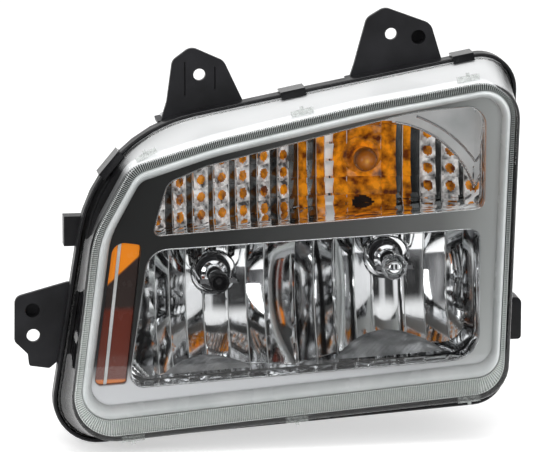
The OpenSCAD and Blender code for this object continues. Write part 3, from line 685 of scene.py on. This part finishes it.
def build_world():
    """White surround; mirrors see a studio with dark and bright upright panels in front."""
    world = bpy.data.worlds.new("studio")
    bpy.context.scene.world = world
    world.use_nodes = True
    tree = world.node_tree
    background = tree.nodes["Background"]
    coord = tree.nodes.new("ShaderNodeTexCoord")
    split = tree.nodes.new("ShaderNodeSeparateXYZ")
    tree.links.new(coord.outputs["Generated"], split.inputs["Vector"])
    across = ramp_over(tree, split.outputs["X"], -1.0, 1.0, "LINEAR")
    levels = [(0.0, 0.9), (0.24, 1.0), (0.27, 0.04), (0.40, 0.03), (0.43, 0.55), (0.50, 0.75),
              (0.53, 0.06), (0.66, 0.03), (0.69, 0.85), (0.85, 1.0), (1.0, 0.5)]
    panels = tone_ramp(tree, across, [(at, (level, level, level * 1.01)) for at, level in levels])
    front = ramp_over(tree, split.outputs["Y"], -0.05, -0.4)
    low = ramp_over(tree, split.outputs["Z"], 0.55, 0.35)
    under = ramp_over(tree, split.outputs["Z"], -0.12, -0.3)
    scene_front = blend_colour(tree, under, panels, (0.16, 0.16, 0.165))
    shade = blend_colour(tree, multiply(tree, front, low), (1.0, 1.0, 1.0), scene_front)
    flag = multiply(tree, ramp_over(tree, split.outputs["X"], -0.35, -0.6),
                    ramp_over(tree, split.outputs["Z"], 0.6, 0.4))
    shade = blend_colour(tree, flag, shade, (0.10, 0.10, 0.105))
    path = tree.nodes.new("ShaderNodeLightPath")
    plain = tree.nodes.new("ShaderNodeMath")
    plain.operation = "MAXIMUM"
    tree.links.new(path.outputs["Is Camera Ray"], plain.inputs[0])
    tree.links.new(path.outputs["Is Diffuse Ray"], plain.inputs[1])
    tree.links.new(blend_colour(tree, plain.outputs[0], shade, (1.0, 1.0, 1.0)), background.inputs["Color"])
    background.inputs["Strength"].default_value = 1.0


def build_lights():
    centre = (Vector(cad_box[0]) + Vector(cad_box[1])) / 2
    area_light("top_box", centre + Vector((0.0, -0.3, 1.3)), centre, (1.6, 1.0), 12)
    area_light("left_box", centre + Vector((-1.1, -1.3, 0.5)), centre, (0.5, 1.2), 9)
    area_light("right_strip", centre + Vector((1.2, -1.2, 0.3)), centre, (0.25, 1.2), 5)


build_camera()
build_floor()
build_world()
build_lights()
bpy.context.scene.view_settings.view_transform = "Standard"
bpy.context.scene.cycles.use_denoising = True

# ---------------------------------------------------------------- trim ring, light guide and lens
RIB_PITCH = 1.5
RIB_STEPS = 4


def build_ring():
    """Fluted ring and the half-round light guide inside it."""
    outer, inner = rounded(RING), rounded(GROOVE)
    ribs, beads = [], []
    for i, (p, n) in enumerate(walk(BEAD, RIB_PITCH / RIB_STEPS)):
        out = reach(p, n, outer)
        inn = -reach(p, -n, inner)
        wave = math.cos(2 * math.pi * i / RIB_STEPS)
        depth = 1.3 - 0.9 * wave

        def at(distance, y):
            q = p + n * distance
            return place(q.x, y, q.y)

        ribs.append([at(out, 5.9), at(out, 1.0), at(out - 0.35, 0.5), at(out - 0.9, 0.6),
                     at(out - 1.1, depth + 0.3), at(out * 0.5, depth), at(0.75, depth + 0.3),
                     at(0.55, 1.6), at(0.15, 1.8), at(0.1, 5.9)])
        notch = 0.22 * wave
        half = -inn / 2
        rise = 6.6
        arc = []
        for k in range(11):
            a = math.pi * k / 10
            dent = notch * (1 - abs(math.cos(a))) if k > 5 else 0
            arc.append(at(-half + (half - 0.2) * math.cos(a), 5.9 - (rise - abs(dent)) * math.sin(a) ** 0.8))
        beads.append(arc)
    width = len(ribs[0]) - 1
    # Faces 1 and 2 of each rib step take the painted valley shade.
    look = [1 if i % RIB_STEPS in (1, 2) else 0 for i in range(len(ribs)) for _ in range(width)]
    verts = [p for rib in ribs for p in rib]
    ring = make("fluted_ring_detail", verts, join_rings(ribs), [fluted, fluted_valley_shade], "housing",
                40, look)
    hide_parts("fluted_ring")
    bead = swept("light_guide_detail", beads, guide, "housing", sharp=50)
    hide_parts("light_guide")


def build_lens():
    """Clear cover: flat face, rolled edge and sloped skirt down to its foot in the flange."""
    front = inset(RING, -3)
    foot = inset(FLANGE, 3)
    levels = [(inset(front, 7), -7.0), (inset(front, 3.4), -6.9), (inset(front, 1.4), -6.1),
              (inset(front, 0.4), -4.8), (front, -3.0), (inset(foot, 2.2), 33.6), (inset(foot, 1.0), 34.6),
              (foot, 35.4), (foot, 41.0)]
    outlines = [(rounded(line), y) for line, y in levels]
    rings = []
    for p, n in walk(BEAD, 4.0):
        ring = []
        for points, y in outlines:
            d = reach(p, n, points)
            q = p + n * d
            ring.append(place(q.x, y, q.y))
        rings.append(ring)
    verts = [v for ring in rings for v in ring]
    faces = join_rings(rings)
    width = len(outlines)
    faces.append(tuple(i * width for i in range(len(rings))))
    lens = make("lens_cover", verts, faces, lens_clear, "housing", sharp=60)
    for polygon in lens.data.polygons:
        if abs(polygon.normal.y) > 0.99:
            polygon.use_smooth = False
    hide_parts("lens")


def band_faces(name, line, profile, look, body, pitch=4.0, sharp=40):
    """A profile of (outward offset, y) swept round an outline."""
    rings = []
    for p, n in walk(line, pitch):
        rings.append([place((p + n * d).x, y, (p + n * d).y) for d, y in profile])
    return swept(name, rings, look, body, sharp=sharp)


def plate(name, outlines, y, thickness, bevel, look, body):
    """Flat plate with holes and rounded edges, from closed outlines."""
    curve = bpy.data.curves.new(name, "CURVE")
    curve.dimensions = "2D"
    curve.fill_mode = "BOTH"
    curve.extrude = (thickness / 2 - bevel) * MM
    curve.bevel_depth = bevel * MM
    curve.bevel_resolution = 3
    curve.offset = -bevel * MM
    for line in outlines:
        points = rounded(line)
        spline = curve.splines.new("POLY")
        spline.points.add(len(points) - 1)
        for target, p in zip(spline.points, points):
            target.co = (p.x * MM, p.y * MM, 0, 1)
        spline.use_cyclic_u = True
    source = bpy.data.objects.new(name + "_curve", curve)
    bpy.context.scene.collection.objects.link(source)
    graph = bpy.context.evaluated_depsgraph_get()
    flat = bpy.data.meshes.new_from_object(source.evaluated_get(graph))
    verts = [place(v.co.x / MM, y + thickness / 2 + v.co.z / MM, v.co.y / MM) for v in flat.vertices]
    faces = [tuple(polygon.vertices) for polygon in flat.polygons]
    bpy.data.objects.remove(source)
    bpy.data.curves.remove(curve)
    bpy.data.meshes.remove(flat)
    piece = make(name, verts, faces, look, body, 30)
    for polygon in piece.data.polygons:
        polygon.use_smooth = abs(polygon.normal.y) < 0.999
    return piece


def build_bezel():
    """Trim plate with its three openings, their short tubes and the chrome lips."""
    edge = inset(RING, 0.6)
    face = plate("bezel_face", [edge, UPPER, LOWER, SIDE], 6.0, 2.4, 0.7, satin, "housing")
    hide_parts("bezel")
    for name, line, profile, look in (
            ("bezel_skirt", edge, [(-0.4, 7.2), (0, 8.5), (0, 30), (-2, 30), (-2, 8.4)], skirt),
            ("upper_tube", UPPER, [(0.0, 7.6), (-0.5, 8.6), (-1.9, 18.5), (1.4, 17), (1.5, 8.3)], chrome),
            ("lower_tube", LOWER, [(0.0, 7.6), (-0.3, 8.6), (-1.6, 18.5), (1.4, 17), (1.5, 8.3)], chrome),
            ("side_tube", SIDE, [(0.0, 7.6), (0.1, 17), (1.0, 17), (1.1, 8.3)], gloss_black)):
        band_faces(name, line, profile, look, "housing")
    lip = [(1.5, 6.1), (1.35, 5.2), (0.8, 4.7), (0.2, 5.0), (-0.1, 6.2), (-0.3, 9.0)]
    trim = band_faces("window_lip", inset(LOWER, 0.3), lip, chrome, "housing", 2.0, 60)
    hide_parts("window_trim")
    band_faces("turn_window_lip", inset(UPPER, 0.3), lip, chrome, "housing", 2.0, 60)


build_ring()
build_lens()
build_bezel()

# ---------------------------------------------------------------- beam bowls
HIGH_FOCAL, HIGH_APEX = 40.0, 84.0
LOW_FOCAL, LOW_APEX = 48.0, 96.0
FACE_Y = 28.0
SKIN = 0.35
COLLAR_REACH = 18.5


def bowl_depth(x, z):
    """Depth of the deeper of the two bowls, in mm, with that bowl's axis and focal length."""
    left = HIGH_APEX - ((x - HIGH_AXIS.x) ** 2 + (z - HIGH_AXIS.y) ** 2) / (4 * HIGH_FOCAL)
    right = LOW_APEX - ((x - LOW_AXIS.x) ** 2 + (z - LOW_AXIS.y) ** 2) / (4 * LOW_FOCAL)
    return (left, HIGH_AXIS, HIGH_FOCAL) if left > right else (right, LOW_AXIS, LOW_FOCAL)


FLUTES = [-128, -101, -89, -75, -60.5, -41, -26.5, -12.5, 10.5, 28, 46, 64, 78.5, 104.5, 120, 137.5, 152]
FLUTE_BULGE = [0.3, 0.2, 0.2, 0.2, 0.6, 0.2, 0.2, 0.3, 0.3, 0.25, 0.25, 0.2, 2.0, 0.2, 0.25, 0.3]


def window_floor(x):
    return -108.6 + 0.0536 * (x + 129)


def window_roof(x):
    return 0.0 + 0.038 * (x + 112.5) - 0.4


def flute_depth(x0, x1, bulge, x, z):
    """Depth on one upright flute: the bowl's own shape along the flute, a crown across it."""
    middle = (x0 + x1) / 2
    base, axis, focal = bowl_depth(middle, z)
    slope = -(middle - axis.x) / (2 * focal)
    t = (x - middle) / ((x1 - x0) / 2)
    return base + slope * (x - middle) - bulge * (1 - t * t)


def build_flute_lines():
    """Thin strips painted light where two flutes meet: painted edge highlights."""
    verts, faces = [], []
    outline = rounded(inset(LOWER, 0.6))
    for x in FLUTES[1:-1]:
        levels = [-110 + k * 3.0 for k in range(40)]
        grid = [[place(x + side, bowl_depth(x, z)[0] - 1.3, z) for z in levels] for side in (-0.3, 0.3)]
        grid_faces(grid, verts, faces, lambda px, pz: inside(outline, px, pz)
                   and min((Vector((px, pz)) - a).length for a in (LOW_AXIS, HIGH_AXIS)) > 12)
    trimmed("flute_lines", verts, faces, edge_highlight_paint, "beam_unit", 12)


def build_beam_mirror():
    """Fluted mirror skin lying in the twin bowls."""
    verts, faces = [], []
    outline = rounded(inset(LOWER, 0.4))

    def in_window(x, z):
        """True within the window and off the bulb holes."""
        near = min(math.hypot(x - a.x, z - a.y) for a in (HIGH_AXIS, LOW_AXIS))
        return inside(outline, x, z) and near > 12.0

    across, up = 10, 44
    for k, (x0, x1) in enumerate(zip(FLUTES, FLUTES[1:])):
        columns = []
        for i in range(across + 1):
            x = x0 + (x1 - x0) * i / across
            x = min(max(x, -127.5), 150.0)
            low, high = window_floor(x), window_roof(x)
            column = []
            for j in range(up + 1):
                z = low + (high - low) * j / up
                y = flute_depth(x0, x1, FLUTE_BULGE[k], x, z)
                if min(math.hypot(x - a.x, z - a.y) for a in (HIGH_AXIS, LOW_AXIS)) < COLLAR_REACH:
                    y = min(y, bowl_depth(x, z)[0] - 0.3)
                column.append(place(x, max(FACE_Y, y) - SKIN, z))
            columns.append(column)
        grid_faces(columns, verts, faces, in_window)
    trimmed("beam_mirror", verts, faces, mirror, "beam_unit", 18)
    for name, axis, apex in (("high", HIGH_AXIS, HIGH_APEX), ("low", LOW_AXIS, LOW_APEX)):
        collar = [(18.5, apex - 3.2), (17.5, apex - 4.2), (13.0, apex - 3.6), (11.6, apex - 2.4),
                  (11.3, apex + 1)]
        swept(name + "_collar", lathe(collar, axis, 64), mirror, "beam_unit", sharp=40)


def build_beam_walls():
    """Mirror walls between the window edge and the bowls."""
    rings = []
    for p, n in walk(inset(LOWER, 0.5), 2.5):
        depth = max(FACE_Y + 1.5, bowl_depth(p.x, p.y)[0])
        start = FACE_Y - 0.3
        rings.append([place(p.x, start + (depth - start) * t, p.y) for t in (0, 0.25, 0.5, 0.75, 1)])
    swept("beam_walls", rings, mirror, "beam_unit", sharp=30)


# ---------------------------------------------------------------- turn signal mirror
TURN_FOCAL, TURN_APEX = 170.0, 72.0
ROW, ROW_START = 13.9, 1.6
# Edges of the upright facet columns, and the kind of each: W wide pillow, N narrow plain, S amber
# stripe, B bright, C amber centre; the amber is a painted reflection of the bulb, N columns are painted
# dark, B has a painted glow
COLUMNS = [-111, -97.5, -91, -79.5, -74, -61, -56.5, -43.5, -38, -26.5, -20, -9.5, -3, 6, 14, 21.5, 29, 36,
           42.5, 54, 81.5, 93, 99, 105, 113, 124, 130, 142, 147.5, 156]
KINDS = "WNWNWNWNWNWNWNSNSBSCSNSNWNWNW"
ARC_CENTRE, ARC_RADIUS = Vector((80, 12.7)), 77.0
# Centre and radius of the bulb's painted shadow on the centre column
BULB_IMAGE, IMAGE_RADIUS = Vector((66.5, 16.5)), 11
# Half sizes and drop of the painted amber reflection on each wide facet
SPOT_HALF_WIDTH, SPOT_HALF_HEIGHT, SPOT_DROP = 3.4, 3.9, 0.6
BULB_HOLE = 12.5
# Looks of the turn mirror's faces, by index
GREY, AMBER_REFLECTION, DARK, PALE, SHADOW = range(5)
KIND_LOOK = {"W": GREY, "B": PALE, "N": DARK}
VIEW = Vector((-0.136, -0.969, 0.208))


def turn_depth(x, z):
    """Depth of the turn-signal bowl, in mm."""
    return TURN_APEX - ((x - TURN_AXIS.x) ** 2 + (z - TURN_AXIS.y) ** 2) / (4 * TURN_FOCAL)


def facet_slopes(x, y, z, target, view):
    """Slopes of a mirror at a point that shows the target along the view."""
    normal = ((target - Vector((x, y, z))).normalized() + view.normalized()).normalized()
    return normal.x / -normal.y, normal.z / -normal.y


def face_centre(face, verts):
    """Middle of a four-cornered face, across and up, in mm."""
    c = sum((verts[i] for i in face), Vector()) / 4
    return (c.x - ORIGIN.x) / MM, (c.z - ORIGIN.z) / MM


def grid_faces(grid, verts, faces, keep):
    """Add a grid's points, and those of its faces whose middle is to be kept."""
    start = len(verts)
    for column in grid:
        verts.extend(column)
    for face in join_rings(grid, loop=False, start=start):
        if keep(*face_centre(face, verts)):
            faces.append(face)


def trimmed(name, verts, faces, look, body, sharp, face_looks=None):
    """A piece from only the points that its faces use."""
    used = sorted({i for face in faces for i in face})
    index = {old: new for new, old in enumerate(used)}
    kept = [tuple(index[i] for i in face) for face in faces]
    return make(name, [verts[i] for i in used], kept, look, body, sharp, face_looks)


def build_turn_mirror():
    """Grid of pillow facets round the bulb, and the smooth corner outside the arc."""
    outline = rounded(inset(UPPER, 0.4))
    verts, faces, looks = [], [], []
    bulb = Vector((TURN_AXIS.x, 56.0, TURN_AXIS.y))

    def on_grid(x, z):
        away = Vector((x, z)) - ARC_CENTRE
        outside = x > ARC_CENTRE.x and away.length > ARC_RADIUS
        return inside(outline, x, z) and not outside and (Vector((x, z)) - TURN_AXIS).length > BULB_HOLE

    for x0, x1, kind in zip(COLUMNS, COLUMNS[1:], KINDS):
        row0 = ROW_START
        while row0 < 114:
            row1 = row0 + ROW
            cx, cz = (x0 + x1) / 2, (row0 + row1) / 2
            base = turn_depth(cx, cz)
            steps = 14 if kind in "WC" else 6
            if kind in "SC":
                gx, gz = facet_slopes(cx, base, cz, bulb, VIEW)
                bend, bend_z = 0.002, 0.0015
            elif kind == "W":
                gx, gz = facet_slopes(cx, base, cz, bulb, VIEW + Vector((0.10, 0, 0.10)))
                bend, bend_z = 0.006, 0.006
            elif kind == "B":
                gx, gz = 0.02, -0.62
                bend, bend_z = 0.004, 0.004
            else:
                gx, gz = facet_slopes(cx, base, cz, bulb, VIEW)
                gx, gz = gx * 0.2 + 0.22, gz * 0.3 + 0.05
                bend, bend_z = 0.004, 0.006
            slope_x = (TURN_AXIS.x - cx) / (2 * TURN_FOCAL)
            slope_z = (TURN_AXIS.y - cz) / (2 * TURN_FOCAL)
            tilt = abs(gx - slope_x) * (x1 - x0) / 2 + abs(gz - slope_z) * ROW / 2
            lift = 0.8 + tilt + (bend + bend_z) * 36
            grid = []
            for i in range(steps + 1):
                u = (x0 + (x1 - x0) * i / steps) - cx
                column = []
                for j in range(steps + 1):
                    v = (row0 + (row1 - row0) * j / steps) - cz
                    y = base + gx * u + gz * v + bend * u * u + bend_z * v * v - lift
                    column.append(place(cx + u, y, cz + v))
                grid.append(column)
            first = len(faces)
            grid_faces(grid, verts, faces, on_grid)
            for face in faces[first:]:
                x, z = face_centre(face, verts)
                u, v = (x - cx) / SPOT_HALF_WIDTH, (z - cz + SPOT_DROP) / SPOT_HALF_HEIGHT
                # Painted light: centre-column faces near BULB_IMAGE get the bulb's painted shadow; stripe
                # and centre columns and an ellipse on each wide facet get the painted amber reflection.
                if kind == "C" and (Vector((x, z)) - BULB_IMAGE).length < IMAGE_RADIUS:
                    looks.append(SHADOW)
                elif kind in "SC" or (kind == "W" and u * u + v * v < 1.0):
                    looks.append(AMBER_REFLECTION)
                else:
                    looks.append(KIND_LOOK[kind])
            row0 = row1
    coats = [facet_painted_reflection, amber_reflection_paint, facet_painted_dark, pale_metal, gloss_black]
    trimmed("turn_mirror", verts, faces, coats, "housing", 12, looks)
    verts, faces = [], []
    # Thin strips painted light between the facet columns: painted edge highlights.
    for x in COLUMNS[1:-1]:
        levels = [8 + k * 3.0 for k in range(34)]
        grid = [[place(x + side, turn_depth(x, z) - 3.2, z) for z in levels] for side in (-0.32, 0.32)]
        grid_faces(grid, verts, faces, on_grid)
    trimmed("turn_column_lines", verts, faces, edge_highlight_paint, "housing", 12)
    verts, faces = [], []
    grid = [[place(x, min(turn_depth(x, z) - SKIN, 56 - 0.16 * (x - 120) - 0.10 * (z - 60)), z)
             for z in [20 + k * 1.5 for k in range(64)]] for x in [80 + k * 1.5 for k in range(52)]]
    grid_faces(grid, verts, faces, lambda x, z: inside(outline, x, z)
               and (Vector((x, z)) - ARC_CENTRE).length > ARC_RADIUS - 1.0)
    trimmed("turn_corner", verts, faces, pale_metal, "housing", 30)
    arcs = (("a", ARC_CENTRE, ARC_RADIUS, 18, 82), ("b", Vector((75, 5)), 94.5, 28, 70))
    wire = 1.1
    for name, centre, radius, first, last in arcs:
        rings = []
        for i in range(41):
            a = math.radians(first + (last - first) * i / 40)
            out = Vector((math.cos(a), math.sin(a)))
            p = centre + out * radius
            y = 49.5 - 0.16 * (p.x - 120) - 0.10 * (p.y - 60)
            if not inside(outline, p.x, p.y):
                continue
            rings.append([place(p.x + out.x * wire * math.cos(b), y + wire * math.sin(b),
                                p.y + out.y * wire * math.cos(b))
                          for b in [j * math.pi / 4 for j in range(8)]])
        swept("turn_arc_" + name, rings, chrome, "housing", loop=False, tube=True, sharp=60)
    collar = [(16.0, 68.5), (14.2, 66.0), (13.0, 65.0), (8.1, 65.6), (8.1, 67.5)]
    # The collar carries the painted amber reflection of the bulb.
    swept("turn_collar", lathe(collar, TURN_AXIS, 64), amber_reflection_paint, "housing", sharp=40)
    rings = []
    for p, n in walk(inset(UPPER, 0.5), 2.5):
        rings.append([place(p.x, 23 + (turn_depth(p.x, p.y) - 23) * t, p.y) for t in (0, 0.3, 0.6, 1)])
    swept("turn_walls", rings, mirror, "housing", sharp=30)


def build_floor_domes():
    """Ribbed spoon-shaped floors of the two bowls."""
    for name, middle, half, rise, depth in (("low", 83.5, 45.0, 12.0, 38.0),
                                            ("high", -63.0, 36.0, 7.0, 26.0)):
        count = int(2 * half / 0.5)
        rings = []
        for i in range(count + 1):
            t = -1 + 2 * i / count
            x = middle + half * t
            crown = max(0.0, 1 - t * t)
            ridge = 0.18 * math.cos(math.pi * i)
            base = window_floor(x) + 0.8
            rings.append([place(x, 30.5 + depth * crown * k / 8,
                                base + rise * crown * math.sin(math.pi / 2 * k / 8) + ridge * crown)
                          for k in range(9)])
        swept(name + "_floor_dome", rings, dome_metal, "beam_unit", loop=False, sharp=20)


# ---------------------------------------------------------------- bulbs
def dome(radius, tip, steps):
    """Profile of a round end, from its tip out to its radius."""
    angles = [math.pi / 2 * k / steps for k in range(1, steps + 1)]
    return [(0.05, tip)] + [(radius * math.sin(a), tip + radius * (1 - math.cos(a))) for a in angles]


def build_halogen(name, body, axis, apex, tip, node, capped):
    """Quartz capsule with its filament, supports and coated tip."""
    r = 5.8
    profile = dome(r, tip, 8)
    profile += [(r, apex - 20), (r * 0.9, apex - 16), (r * 0.72, apex - 13), (r * 0.7, apex - 8)]
    capsule = swept(name + "_capsule", lathe(profile, axis, 36), quartz, body, sharp=50)
    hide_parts(node)
    if capped:
        cap = dome(r + 0.2, tip - 0.15, 6) + [(r + 0.2, tip + 9), (r + 0.02, tip + 9.2)]
        swept(name + "_tip", lathe(cap, axis, 36), gloss_black, body, sharp=50)
    turns, coil_r, wire_r = 9, 1.0, 0.18
    rings = []
    for i in range(turns * 10 + 1):
        a = 2 * math.pi * i / 10
        y = tip + 11 + i * 0.06
        centre = Vector((axis[0] + coil_r * math.cos(a), y, axis[1] + coil_r * math.sin(a)))
        rings.append([place(centre.x + wire_r * math.cos(b), centre.y + wire_r * math.sin(b), centre.z)
                      for b in (0, 2.1, 4.2)])
    swept(name + "_filament", rings, tungsten, body, loop=False, tube=True, sharp=80)
    for lead, side in (("_lead_a", -1), ("_lead_b", 1)):
        wire = [[place(axis[0] + side * 1.6 + 0.3 * math.cos(b), y, axis[1] + 0.3 * math.sin(b))
                 for b in (0, 1.57, 3.14, 4.71)] for y in (tip + 10.5, apex - 10, apex - 8)]
        swept(name + lead, wire, steel, body, loop=False, tube=True, sharp=80)


def box_piece(name, low, high, look, body, bevel=0.3):
    """Box with chamfered edges, from two corners in mm."""
    centre = [(a + b) / 2 for a, b in zip(low, high)]
    half = [(b - a) / 2 for a, b in zip(low, high)]
    work = bmesh.new()
    bmesh.ops.create_cube(work, size=2.0)
    for v in work.verts:
        v.co = Vector([c * h for c, h in zip(v.co, half)])
    bmesh.ops.bevel(work, geom=list(work.edges), offset=bevel, segments=2, affect="EDGES")
    verts = [place(*[c + m for c, m in zip(v.co, centre)]) for v in work.verts]
    faces = [tuple(v.index for v in f.verts) for f in work.faces]
    work.free()
    return make(name, verts, faces, look, body, 50)


def build_shields():
    """Domed chrome cap of the low beam and ringed dark cap of the high beam, on their crossbars."""
    low_cap = [(0.05, 44.2)]
    low_cap += [(10.4 * math.sin(a), 44.2 + 8.5 * (1 - math.cos(a)))
                for a in [math.pi / 2 * k / 10 for k in range(1, 11)]]
    low_cap += [(10.4, 56.0), (9.6, 56.0), (9.6, 53.0)]
    high_cap = [(0.05, 46.5), (3.0, 46.0), (5.2, 44.0), (5.4, 41.2), (6.0, 40.3), (6.8, 40.0), (7.6, 40.4),
                (8.0, 41.4), (8.0, 52.0), (7.2, 52.0)]
    leg_x = 15.4
    for name, axis, apex, focal, y, profile, look, slot in (
            ("low", LOW_AXIS, LOW_APEX, LOW_FOCAL, 51.0, low_cap, chrome, "mirror"),
            ("high", HIGH_AXIS, HIGH_APEX, HIGH_FOCAL, 47.0, high_cap, gloss_black, "dark_shield")):
        cap = swept(name + "_shield_cap", lathe(profile, axis, 48), look, "beam_unit", sharp=50)
        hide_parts(name + "_beam_shield")
        foot = apex - leg_x ** 2 / (4 * focal)
        for end, side in (("a", -1), ("b", 1)):
            near, far = sorted((axis.x + side * 7.8, axis.x + side * 16.2))
            box_piece(name + "_shield_arm_" + end, (near, y, axis.y - 1.7), (far, y + 2.4, axis.y + 1.7),
                      chrome, "beam_unit")
            leg = axis.x + side * leg_x
            box_piece(name + "_shield_leg_" + end, (leg - 0.8, y, axis.y - 2), (leg + 0.8, foot, axis.y + 2),
                      chrome, "beam_unit")
    for name, axis, apex in (("low", LOW_AXIS, LOW_APEX), ("high", HIGH_AXIS, HIGH_APEX)):
        ferrule = [(6.1, apex - 12.5), (6.6, apex - 13.0), (7.4, apex - 12.4), (8.2, apex - 9.6),
                   (10.6, apex - 8.6), (10.9, apex - 8.0), (10.9, apex - 5.0)]
        swept(name + "_ferrule", lathe(ferrule, axis, 48), chrome, name + "_bulb", sharp=40)


def build_globe(name, body, axis, centre_y, r, neck_r, back, node):
    """Amber bulb: globe that runs into a straight neck."""
    profile = [(0.05, centre_y - r)]
    blend = math.asin(neck_r / r)
    for k in range(1, 19):
        a = (math.pi - blend) * k / 18
        profile.append((r * math.sin(a), centre_y - r * math.cos(a)))
    profile += [(neck_r, centre_y + r * math.cos(blend) + 2), (neck_r, back)]
    globe = swept(name, lathe(profile, axis, 48), turn_amber_painted_glow, body, sharp=50)
    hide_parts(node)


build_beam_mirror()
build_flute_lines()
build_beam_walls()
build_floor_domes()
build_turn_mirror()
build_halogen("low_bulb", "low_bulb", LOW_AXIS, LOW_APEX, 48, "low_bulb_glass", False)
build_halogen("high_bulb", "high_bulb", HIGH_AXIS, HIGH_APEX, 43, "high_bulb_glass", True)
build_shields()
build_globe("turn_globe", "turn_lamp", TURN_AXIS, GLOBE_Y, GLOBE_RADIUS, 7.4, 70, "turn_bulb")

# ---------------------------------------------------------------- housing details
# Middle of each rest, and the angle it lies at
LENS_RESTS = [(-126.5, -149.5, 4.8), (4, -138.5, 4.8), (142.5, -127, 4.8), (-115, 78, 29), (8, 109, 12),
              (139.5, 132.5, 10)]


def build_lens_rests():
    """Frosted moulded rests on the lens edge, each a bar with a short stem."""
    for k, (x, z, turn) in enumerate(LENS_RESTS):
        a = math.radians(turn)
        along, out = Vector((math.cos(a), math.sin(a))), Vector((-math.sin(a), math.cos(a)))
        side = -1 if z < 0 else 1
        for part, (u0, u1, v0, v1) in (("bar", (-9, 9, -2.2, 2.2)), ("stem", (-1.4, 1.4, 1.8, 4.4))):
            verts = []
            for y in (-2.2, 0.4):
                for u, v in ((u0, v0), (u1, v0), (u1, v1), (u0, v1)):
                    p = Vector((x, z)) + along * u + out * v * side
                    verts.append(place(p.x, y, p.y))
            faces = [(0, 1, 2, 3), (7, 6, 5, 4), (0, 4, 5, 1), (1, 5, 6, 2), (2, 6, 7, 3), (3, 7, 4, 0)]
            make("lens_rest_" + part + "_" + str(k), verts, faces, frosted, "housing", 30)


build_lens_rests()
rim = [(0.0, 37.0), (0.0, 35.6), (-0.3, 34.9), (-0.9, 34.6), (-1.6, 34.7), (-2.1, 35.2), (-2.3, 37.0)]
band_faces("flange_lip", FLANGE, rim, gloss_black, "housing", 3.0, 50)
